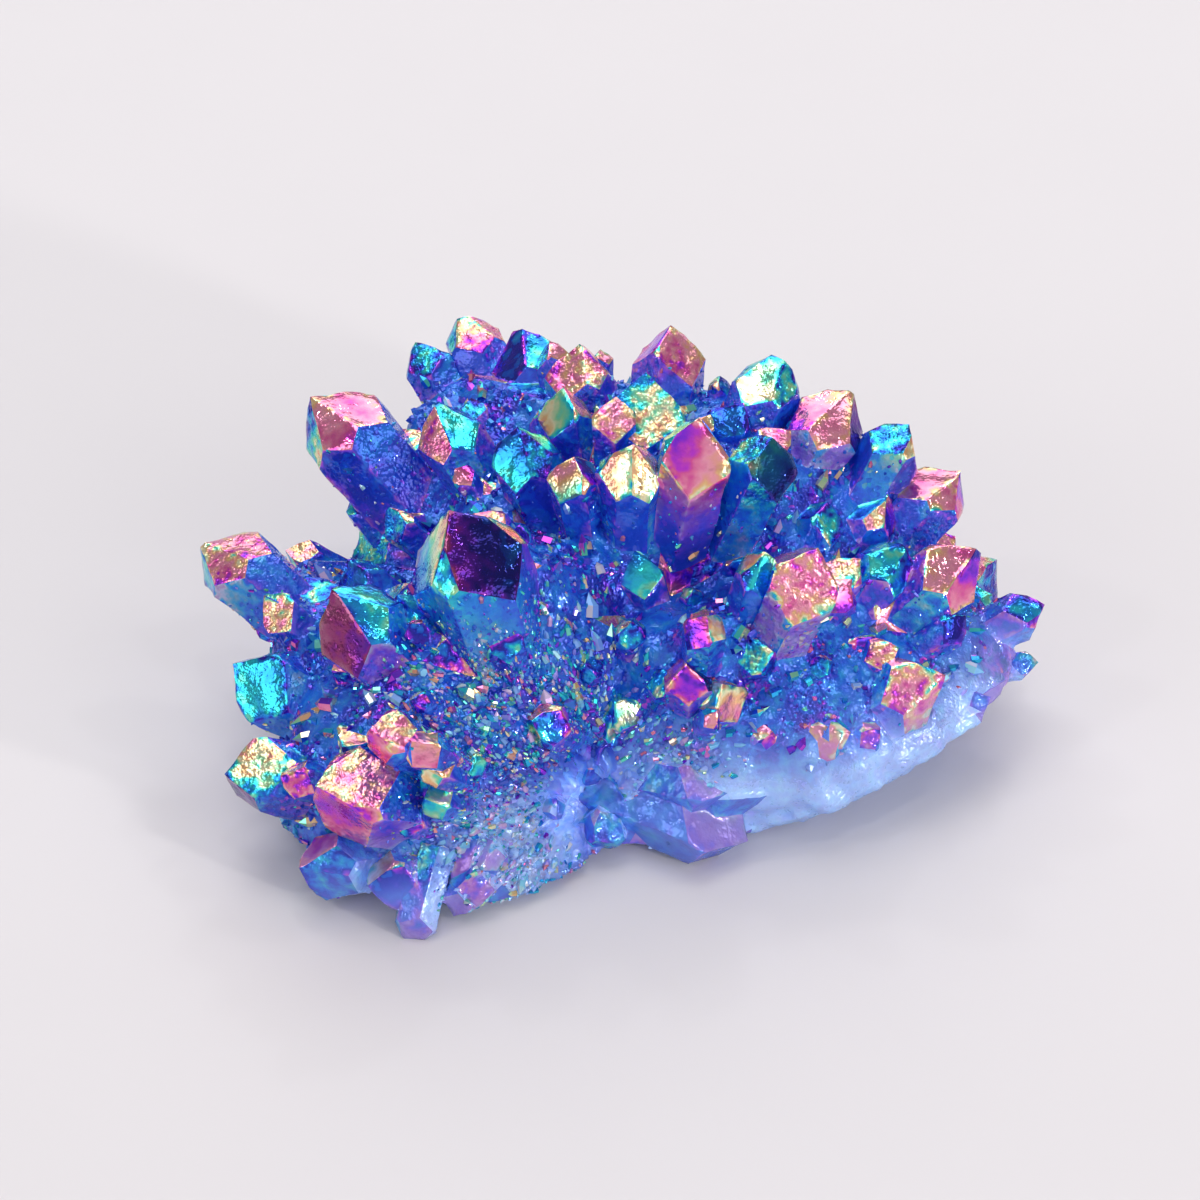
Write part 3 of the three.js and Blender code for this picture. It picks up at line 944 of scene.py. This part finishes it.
    def _fused_rays(self) -> np.ndarray:
        """Finds the ridges of slim crystals, fused side by side, that run out from the pit.

        Returns:
            The ridges' height at each point, from -0.5 to 0.5, and 0 away from the pit.
        """
        out = self.points / MM - HEART - PIT
        away = np.linalg.norm(out, axis=1)
        out = out / np.maximum(away, 1e-6)[:, None]
        broad = np.array([1.0 - 2.0 * abs(noise.noise(Vector(o * 6.5))) for o in out])
        slim = np.array([noise.noise(Vector(o * 17.0 + 5.0)) for o in out])
        self.ridges = np.clip(0.5 * broad + 0.35 * slim + 0.3, 0.0, 1.0)
        near = total_weight(RAY_PLACES, self.points) * np.clip(away / self.pit_mm, 0.15, 1.0)
        return (self.ridges - 0.5) * near

    def clear_of_pit(self, points: np.ndarray) -> np.ndarray:
        """Tells how far outside the pit each point is.

        Args:
            points: Rows of x, y, z in metres.

        Returns:
            One number for each row: 0 in the pit, 1 well outside it.
        """
        away = np.linalg.norm(points / MM - HEART - PIT, axis=1)
        return np.clip(away / self.pit_mm - 1.0, 0.0, 1.0)

    def _face_films(self, rng: np.random.Generator) -> np.ndarray:
        """Chooses each facet's place on the film's run.

        Args:
            rng: The random numbers.

        Returns:
            One place for each facet.
        """
        places = np.zeros(len(self.kind))
        for i, way in enumerate(self.way):
            usual, rarer = WAY_FILMS[way]
            places[i] = rng.uniform(*(usual if rng.random() < USUAL_SHARE else rarer))
            film = self._own_film(i)
            if self.kind[i] == Skin.TIP and film:
                places[i] = film.tint(way).value + rng.uniform(*FILM_PLAY)
            elif self.kind[i] == Skin.PRISM:
                places[i] = rng.choice(SIDE_FILMS) + rng.uniform(*FILM_PLAY)
                if film and film.sides and way is Facing.FRONT:
                    places[i] = film.sides.value
        return places

    def _milkiness(self) -> np.ndarray:
        """Tells how milky the quartz is: at the pale places, near the table and around the pit.

        Returns:
            One number for each point, from 0 to 1.
        """
        pale = total_weight(PALE_PLACES, self.points)
        pale = np.maximum(pale, 0.5 * np.clip(1.0 - self.points[:, 2] / (5.0 * MM), 0.0, 1.0))
        near_pit = np.linalg.norm(self.points / MM - HEART - PIT, axis=1)
        streaks = np.clip(1.6 - near_pit / 8.0, 0.0, 1.0) * self.ridges ** 2
        return np.maximum(pale * (1.0 - 0.4 * streaks), 0.75 * streaks)

    def dress(self, finish: CoatedQuartz) -> None:
        """Lays the film over the body.

        Args:
            finish: The coated quartz.
        """
        rng = np.random.default_rng(self.seed + 1)
        count = len(self.kind)
        places = self._face_films(rng)
        rim = rng.uniform(*self.rim_play, count)
        lean = rng.normal(size=(count, 3)) * self.face_lean
        lean[[int(c) in self.named for c in self.crystal]] *= 0.7
        strength = rng.uniform(0.4, 0.9, count)
        sugar = rng.uniform(0.2, 1.0, count)
        # Painted shade: the tip faces chosen for it on named crystals are darkened.
        painted_shade = np.zeros(count)
        tinted = np.zeros(count, bool)
        for i, way in enumerate(self.way):
            film = self._own_film(i)
            if film and self.kind[i] == Skin.TIP:
                painted_shade[i] = way in film.painted_shade_ways
            elif film and self.kind[i] == Skin.PRISM:
                tinted[i] = bool(film.sides) and way is Facing.FRONT

        # From here on there is one number for each corner of the mesh.
        corner, facet = self.corner_vertex, self.corner_facet
        spots = self.points[corner]
        kind = self.kind[facet]
        foot = kind <= Skin.UNDERSIDE
        down = self.down(spots, facet)
        slow = np.array([noise.noise(Vector(p) / (3.2 * MM)) for p in self.points])[corner]
        rays, wing, wall, valley, front = (
            total_weight(where, self.points)[corner]
            for where in (RAY_PLACES, LILAC_WING, BROKEN_WALL, BARE_VALLEY, PALE_PLACES)
        )
        pale = self._milkiness()[corner]
        face_film = places[facet] + np.sum((spots - self.centre[facet]) / MM * lean[facet], axis=1)
        foot_film = 0.96 + (0.22 * slow + 0.3 * rays * (self.ridges[corner] - 0.5))
        foot_film = (1.0 - wing) * foot_film + wing * (1.0 + Tint.VIOLET.value)

        # Sides are coated towards their tips, and those with a tint of their own more strongly.
        side_coat = np.where(tinted[facet], 2.6 - 4.0 * down, strength[facet] * (1.0 - 0.7 * down))
        side_coat = np.clip(side_coat, 0.25, 0.95)
        coat = np.select([kind == Skin.TIP, kind == Skin.PRISM], [0.96, side_coat], 0.45 + 0.5 * slow)
        coat = coat * (1.0 - 0.75 * pale)
        coat = np.where(foot, np.maximum(coat, 0.55 * wing), coat)

        # Tiny faces sugar the foot and the roots of the points, but not where the quartz is bare.
        side_spark = np.maximum(0.6 * sugar[facet], rays) * np.clip(2.2 * down - 0.5, 0.0, 1.0)
        foot_spark = np.maximum(np.clip(0.45 + 2.2 * slow, 0.0, 1.0), 0.5 * rays)
        tip_spark = 0.25 * self.etched[facet]
        spark = np.select([kind == Skin.TIP, kind == Skin.PRISM], [tip_spark, side_spark], foot_spark)
        bare = np.clip(wall + 0.8 * valley + 0.5 * front, 0.0, 1.0)
        spark = spark * self.clear_of_pit(self.points)[corner] * (1.0 - bare)

        mesh = self.piece.data
        for name, values in {
            "film": np.where(foot, foot_film, face_film),
            "rim": np.where(foot, 0.0, rim[facet]),
            "edge": self.edge_distance[corner],
            "etch": np.where(foot, 0.8 - 0.5 * rays, np.where(self.etched[facet], 1.0, 0.32)),
            "coat": coat,
            "milk": np.where(kind == Skin.TIP, 0.3 * pale, pale),
            "painted_shade": painted_shade[facet],
            "spark": spark,
        }.items():
            corner_values(mesh, name, values)
        mesh.attributes.remove(mesh.attributes["facet"])
        mesh.materials.clear()
        mesh.materials.append(finish.build())
        pick(self.piece)
        bpy.ops.object.shade_smooth_by_angle(angle=math.radians(self.smooth_deg))


@dataclass
class Druse:
    """A crust of fine quartz points that grows between the large ones.

    Attributes:
        name: The piece's name.
        count: How many points it has.
        length_mm: Least and greatest length of a point.
        slimness: Width over length, least and greatest.
        lie: How far the points lie down, away from the pit, from 0 to 1.
        places: Where it grows, or nothing for everywhere.
        on_prisms: How thickly it grows on the large points' sides, beside the foot.
        glints: Share of the points with a bright film.
        sunk: Share of each point that is inside the foot.
        seed: Start of the random numbers.
        face_drift: How far the film changes from face to face.
        untidy: How far the points stand off their way, at random.
        short_bias: The greater it is, the more of the points are short.
        forms: Taper, length of the tip and skew of the points that it is made of.
        quiet, bright: The tints of its points, and of those that glint.
    """

    name: str
    count: int
    length_mm: tuple[float, float]
    slimness: tuple[float, float]
    lie: float
    places: tuple[SoftPlace, ...] = ()
    on_prisms: float = 0.1
    glints: float = 0.25
    sunk: float = 0.25
    seed: int = 21
    face_drift: float = 0.04
    untidy: float = 0.4
    short_bias: float = 2.2
    forms: tuple[tuple[float, float, float], ...] = ((0.85, 0.35, 0.06), (0.95, 0.45, 0.12), (0.9, 0.5, 0.22))
    quiet: tuple[Tint, ...] = (T.BLUE, T.BLUE, T.INDIGO, T.CYAN)
    bright: tuple[Tint, ...] = (T.TEAL, T.TEAL, T.CYAN, T.CYAN, T.VIOLET, T.GREEN, T.CREAM, T.PINK)
    piece: bpy.types.Object = field(init=False)
    owner: np.ndarray = field(init=False)
    side: np.ndarray = field(init=False)
    spots: np.ndarray = field(init=False)
    glint: np.ndarray = field(init=False)

    def _model_point(self, taper: float, tip: float, skew: float) -> tuple[np.ndarray, list[list[int]]]:
        """Models one small point of length 1 and width 1.

        Args:
            taper: Width at the shoulder over width at the root.
            tip: Length of the tip.
            skew: How far the tip stands off the axis.

        Returns:
            Its points, and its faces as lists of point numbers.
        """
        bpy.ops.object.select_all(action="DESELECT")
        foot = 1.0 - tip
        bpy.ops.mesh.primitive_cylinder_add(vertices=6, radius=0.5, depth=foot, location=(0, 0, 0.5 * foot))
        model = bpy.context.object
        bpy.ops.object.transform_apply(location=True, rotation=True, scale=True)
        bpy.ops.object.mode_set(mode="EDIT")
        bpy.ops.mesh.select_mode(type="FACE")
        bpy.ops.mesh.select_all(action="DESELECT")
        bpy.ops.object.mode_set(mode="OBJECT")
        for face in model.data.polygons:
            face.select = face.normal.z > 0.9
        bpy.ops.object.mode_set(mode="EDIT")
        bpy.ops.transform.resize(value=(taper, taper, 1.0))
        bpy.ops.mesh.extrude_region_move(TRANSFORM_OT_translate={"value": (skew, 0.4 * skew, tip)})
        bpy.ops.mesh.merge(type="CENTER")
        bpy.ops.object.mode_set(mode="OBJECT")
        points = np.array([v.co for v in model.data.vertices])
        faces = [list(face.vertices) for face in model.data.polygons]
        shape = model.data
        bpy.data.objects.remove(model)
        bpy.data.meshes.remove(shape)
        return points, faces

    def _sow(self, body: QuartzBody, rng: np.random.Generator) -> tuple[np.ndarray, np.ndarray]:
        """Chooses where the points stand.

        Args:
            body: The body that carries them.
            rng: The random numbers.

        Returns:
            The surface's direction at each spot, and whether it is on a large point's side.
        """
        corners = body.points[body.corner_vertex.reshape(-1, 3)]
        across = np.cross(corners[:, 1] - corners[:, 0], corners[:, 2] - corners[:, 0])
        area = np.linalg.norm(across, axis=1)
        across /= np.maximum(area, 1e-15)[:, None]
        middle = corners.mean(axis=1)
        kind = body.kind[body.face_facet]
        low = np.clip(3.0 * body.down(middle, body.face_facet) - 1.0, 0.0, 1.0)
        density = np.select([kind == Skin.FOOT, kind == Skin.PRISM], [1.0, self.on_prisms * low], 0.0)
        # None grow on the wall, the wing or in the pit, few in the valley, and fewer among the glitter.
        if self.places:
            density = density * total_weight(self.places, middle)
        density = density * np.clip(1.0 - 1.6 * total_weight(BROKEN_WALL + LILAC_WING, middle), 0.0, 1.0)
        density = density * (1.0 - 0.93 * total_weight(BARE_VALLEY, middle))
        if not self.places:
            density = density * (1.0 - 0.7 * total_weight(RAY_PLACES, middle))
        density = density * body.clear_of_pit(middle)
        weights = area * density * (middle[:, 2] > 0.8 * MM)
        chosen = rng.choice(len(weights), self.count, p=weights / weights.sum())
        one, two = rng.random((2, self.count))
        # Two random shares of a triangle's sides, folded back where they pass its third side.
        over = one + two > 1.0
        one, two = np.where(over, 1.0 - one, one), np.where(over, 1.0 - two, two)
        self.spots = corners[chosen, 0] + one[:, None] * (corners[chosen, 1] - corners[chosen, 0])
        self.spots += two[:, None] * (corners[chosen, 2] - corners[chosen, 0])
        return across[chosen], kind[chosen] == Skin.PRISM

    def build(self, body: QuartzBody) -> bpy.types.Object:
        """Sows the points over the body's foot and lower prisms.

        Args:
            body: The body that carries them.

        Returns:
            The druse as one mesh.
        """
        rng = np.random.default_rng(self.seed)
        shapes = [self._model_point(*form) for form in self.forms]
        upright, on_side = self._sow(body, rng)
        out = self.spots - (PIT + HEART) * MM
        out -= upright * np.sum(out * upright, axis=1)[:, None]
        out /= np.maximum(np.linalg.norm(out, axis=1), 1e-9)[:, None]
        # Most points stand or lean away from the pit; those that glint lie down with a face up.
        axis = (1.0 - self.lie) * upright + self.lie * out + rng.normal(size=(self.count, 3)) * self.untidy
        self.glint = rng.random(self.count) < self.glints
        flat = 0.25 * upright + out + rng.normal(size=(self.count, 3)) * 0.3
        axis = np.where(self.glint[:, None], flat, axis)
        axis /= np.linalg.norm(axis, axis=1)[:, None]
        axis[:, 2] = np.maximum(axis[:, 2], -0.25)
        axis /= np.linalg.norm(axis, axis=1)[:, None]
        short, tall = self.length_mm
        length = (short + (tall - short) * rng.random(self.count) ** self.short_bias) * MM
        length = np.where(on_side, 0.6 * length, length)
        width = length * rng.uniform(*self.slimness, self.count)
        face_up = (0.0, 0.0, 1.0) + rng.normal(size=(self.count, 3)) * 0.16
        roll = np.where(self.glint[:, None], face_up, rng.normal(size=(self.count, 3)))
        side = np.cross(roll, axis)
        side /= np.linalg.norm(side, axis=1)[:, None]
        third = np.cross(axis, side)
        points, faces, owner, sides_of = [], [], [], []
        start = 0
        pattern = rng.integers(0, len(shapes), self.count)
        for i in range(self.count):
            shape, sides = shapes[pattern[i]]
            root = self.spots[i] - axis[i] * length[i] * self.sunk
            made = root + (
                shape[:, :1] * width[i] * side[i]
                + shape[:, 1:2] * width[i] * third[i]
                + shape[:, 2:] * length[i] * axis[i]
            )
            points.append(made)
            for face in sides:
                sides_of.extend([len(faces)] * len(face))
                owner.extend([i] * len(face))
                faces.append([start + k for k in face])
            start += len(shape)
        points = np.concatenate(points)
        points[:, 2] = np.maximum(points[:, 2], 0.0)
        mesh = bpy.data.meshes.new(self.name)
        mesh.from_pydata(points.tolist(), [], faces)
        self.piece = bpy.data.objects.new(self.name, mesh)
        bpy.context.scene.collection.objects.link(self.piece)
        self.owner = np.array(owner)
        self.side = np.array(sides_of)
        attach(self.piece, "root")
        return self.piece

    def dress(self, finish: CoatedQuartz) -> None:
        """Gives each small point its own film, and those that glint a bright one or a pale milky one that is a
        painted white sparkle.

        Args:
            finish: The coated quartz.
        """
        rng = np.random.default_rng(self.seed + 1)
        quiet, bright = (
            rng.choice([tint.value for tint in tints], self.count) for tints in (self.quiet, self.bright)
        )
        film = np.where(self.glint, bright, quiet)
        drift = rng.normal(size=len(self.piece.data.polygons)) * self.face_drift
        near = total_weight(PALE_PLACES, self.spots)
        rays = total_weight(RAY_PLACES, self.spots)
        pale = np.maximum(near, rng.uniform(0.0, 0.15, self.count) + 0.1 * rays)
        # Painted highlight: some glinting points, more near the milky places and the ridges, are made pale and
        # milky so that they show as white sparkles.
        painted_sparkle = self.glint & (rng.random(self.count) < 0.2 + 0.35 * near + 0.15 * rays)
        strong = rng.uniform(0.75, 1.0, self.count)
        weak = rng.uniform(0.2, 0.7, self.count) * (1.0 - 0.9 * pale)
        coat = np.where(painted_sparkle, 0.4, np.where(self.glint, strong, weak))
        milk = np.where(painted_sparkle, 0.85, np.where(self.glint, 0.1 * pale, pale))
        mesh = self.piece.data
        corner_values(mesh, "film", film[self.owner] + drift[self.side])
        corner_values(mesh, "coat", coat[self.owner])
        corner_values(mesh, "milk", milk[self.owner])
        corner_values(mesh, "edge", np.ones(len(self.owner)))
        mesh.materials.append(finish.build())


@dataclass(frozen=True)
class MattCard:
    """Matt white card: a pale, even ground, with clouds so faint that it just doesn't look drawn.

    Attributes:
        name: The material's name.
        light, shade: sRGB colours of the card and of its clouds.
        cloud_mm: Size of the clouds.
        dullness: Its roughness.
    """

    name: str = "matt_white_card"
    light: str = "#D8D5D8"
    shade: str = "#D6D3D6"
    cloud_mm: float = 20.0
    dullness: float = 0.6

    def build(self) -> bpy.types.Material:
        """Builds the material.

        Returns:
            A node material for the floor.
        """
        material = bpy.data.materials.new(self.name)
        material.use_nodes = True
        tree = material.node_tree
        tree.nodes.clear()
        place = add_node(tree, "ShaderNodeTexCoord").outputs["Object"]
        clouds = add_node(
            tree, "ShaderNodeTexNoise", {"Vector": place, "Scale": 1 / (self.cloud_mm * MM), "Detail": 4.0}
        ).outputs["Fac"]
        colour = add_node(
            tree, "ShaderNodeMix", {0: clouds, 6: linear(self.light), 7: linear(self.shade)}, data_type="RGBA"
        ).outputs[2]
        shader = add_node(
            tree, "ShaderNodeBsdfPrincipled", {"Base Color": colour, "Roughness": self.dullness}
        )
        add_node(tree, "ShaderNodeOutputMaterial", {"Surface": shader.outputs[0]})
        return material


@dataclass(frozen=True)
class Lamp:
    """A flat lamp that looks at the object.

    Attributes:
        name: The lamp's name.
        place: Where it stands, in metres.
        size: Its width and height in metres.
        watts: Its power.
        code: Its sRGB colour.
        aim: What it looks at, in metres.
    """

    name: str
    place: tuple[float, float, float]
    size: tuple[float, float]
    watts: float
    code: str = "#FFFFFF"
    aim: tuple[float, float, float] = (0.0, 0.0, 0.015)

    def build(self) -> None:
        """Hangs the lamp where it stands and turns it to the object."""
        data = bpy.data.lights.new(self.name, "AREA")
        data.shape = "RECTANGLE"
        data.size, data.size_y = self.size
        data.energy = self.watts
        data.color = linear(self.code)[:3]
        lamp = bpy.data.objects.new(self.name, data)
        lamp.location = self.place
        lamp.rotation_euler = (Vector(self.aim) - Vector(self.place)).to_track_quat("-Z", "Y").to_euler()
        bpy.context.scene.collection.objects.link(lamp)


@dataclass
class Studio:
    """Pale floor, soft light and the camera.

    Attributes:
        target_mm: What the camera looks at.
        elevation_deg: How far the camera looks down.
        distance_mm: How far away it stands.
        lens_mm: Its focal length.
        sensor_mm: The width of its sensor.
        floor_m: The floor's radius.
        floor_rim_m: How wide the floor's rim is that rises from the rest.
        floor_rise_m: How far that rim rises.
        room_front: The way in which the room is brighter.
        room_light: How bright the room is elsewhere, and that way.
        lamps: The lamps, broad ones first.
        spark_lamps: Where the small lamps stand that make the fine crystals glint, in metres.
    """

    target_mm: tuple[float, float, float] = (-2.09, -2.36, 16.8)
    elevation_deg: float = 40.0
    distance_mm: float = 420.0
    lens_mm: float = 138.6
    sensor_mm: float = 36.0
    floor_m: float = 2.0
    floor_rim_m: float = 0.5
    floor_rise_m: float = 0.15
    room_front: tuple[float, float, float] = (0.0, -0.97, 0.24)
    room_light: tuple[float, float] = (0.30, 0.72)
    lamps: tuple[Lamp, ...] = (
        Lamp("window", (0.0, 1.0, 0.84), (1.5, 0.9), 7.2),
        Lamp("top_panel", (-0.15, 0.22, 1.12), (0.6, 0.6), 3.6),
        Lamp("left_fill", (-1.2, -0.6, 0.55), (0.7, 0.7), 3.4),
        Lamp("right_fill", (1.0, -0.75, 0.95), (0.7, 0.7), 3.2),
        Lamp("key_lamp", (0.682, -0.533, 0.248), (0.05, 0.05), 2.7, "#FFFAF4"),
    )
    spark_lamps: tuple[tuple[float, float, float], ...] = (
        (0.3, 0.9, 0.8),
        (-0.6, 0.7, 0.9),
        (0.7, 0.2, 1.0),
        (-0.8, -0.2, 0.9),
        (0.1, -0.3, 1.2),
    )

    def build(self) -> None:
        """Makes the floor, the light and the camera."""
        self._floor()
        self._world()
        sparks = (Lamp(f"spark_lamp_{n}", spot, (0.06, 0.06), 0.6) for n, spot in enumerate(self.spark_lamps))
        for lamp in (*self.lamps, *sparks):
            lamp.build()
        self._camera()
        LOG.info("studio: %d lamps", len(self.lamps) + len(self.spark_lamps))

    def _floor(self) -> None:
        """Makes the floor, a wide sheet whose rim rises."""
        bpy.ops.object.select_all(action="DESELECT")
        bpy.ops.mesh.primitive_circle_add(vertices=64, radius=self.floor_m, fill_type="NGON")
        floor = bpy.context.object
        floor.name = "floor"
        bpy.ops.object.mode_set(mode="EDIT")
        bpy.ops.mesh.select_all(action="SELECT")
        bpy.ops.mesh.inset(thickness=self.floor_rim_m)
        bpy.ops.object.mode_set(mode="OBJECT")
        for vertex in floor.data.vertices:
            if vertex.co.length > self.floor_m - 0.5 * self.floor_rim_m:
                vertex.co.z = self.floor_rise_m
        floor.data.materials.append(MattCard().build())

    def _world(self) -> None:
        """Makes the room's even light, brighter towards the front."""
        world = bpy.data.worlds.new("room")
        world.use_nodes = True
        tree = world.node_tree
        tree.nodes.clear()
        way = add_node(tree, "ShaderNodeTexCoord").outputs["Generated"]
        front = add_node(
            tree, "ShaderNodeVectorMath", {0: way, 1: self.room_front}, operation="DOT_PRODUCT"
        ).outputs["Value"]
        dim, full = self.room_light
        share = add_node(
            tree,
            "ShaderNodeMapRange",
            {"Value": front, "From Min": 0.45, "From Max": 0.92, "To Min": dim, "To Max": full},
            interpolation_type="SMOOTHSTEP",
        ).outputs[0]
        light = add_node(tree, "ShaderNodeBackground", {"Color": linear("#FFFAFC"), "Strength": share})
        add_node(tree, "ShaderNodeOutputWorld", {"Surface": light.outputs[0]})
        bpy.context.scene.world = world

    def _camera(self) -> None:
        """Stands the camera where the photograph was taken from."""
        data = bpy.data.cameras.new("camera")
        data.lens = self.lens_mm
        data.sensor_width = self.sensor_mm
        data.clip_start = 0.01
        camera = bpy.data.objects.new("camera", data)
        tilt = math.radians(self.elevation_deg)
        back = Vector((0.0, -math.cos(tilt), math.sin(tilt)))
        camera.location = Vector(self.target_mm) * MM + back * self.distance_mm * MM
        camera.rotation_euler = (-back).to_track_quat("-Z", "Y").to_euler()
        bpy.context.scene.collection.objects.link(camera)
        bpy.context.scene.camera = camera


def main() -> None:
    """Builds the cluster and its studio, and notes the sizes."""
    logging.basicConfig(level=logging.INFO, format="%(message)s")
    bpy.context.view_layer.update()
    bpy.context.scene.view_settings.view_transform = "Standard"
    body = QuartzBody()
    body.build()
    body.dress(CoatedQuartz("metal_coated_quartz"))
    LOG.info("quartz_body: %d faces, %d named points", len(body.piece.data.polygons), len(body.named))
    fine = CoatedQuartz("metal_coated_druse", grain_mm=0.2, grain_depth_mm=0.01, scatter_mm=0.0)
    crust = Druse(
        "druse_crust",
        count=4200,
        length_mm=(0.4, 1.2),
        slimness=(0.5, 0.85),
        lie=0.15,
        on_prisms=0.8,
        glints=0.3,
        sunk=0.5,
    )
    glitter = Druse(
        "druse_glitter",
        count=3000,
        length_mm=(0.4, 1.1),
        slimness=(0.4, 0.8),
        lie=0.35,
        places=RAY_PLACES,
        on_prisms=1.0,
        glints=0.7,
        sunk=0.5,
        seed=33,
    )
    chips = Druse(
        "druse_chips",
        count=420,
        length_mm=(1.2, 2.5),
        slimness=(0.45, 0.7),
        lie=0.3,
        on_prisms=0.12,
        glints=0.75,
        sunk=0.4,
        seed=52,
        face_drift=0.13,
    )
    for druse in (crust, glitter, chips):
        druse.build(body)
        druse.dress(fine)
        LOG.info("%s: %d points, %d faces", druse.name, druse.count, len(druse.piece.data.polygons))
    Studio().build()


if __name__ == "__main__":
    main()
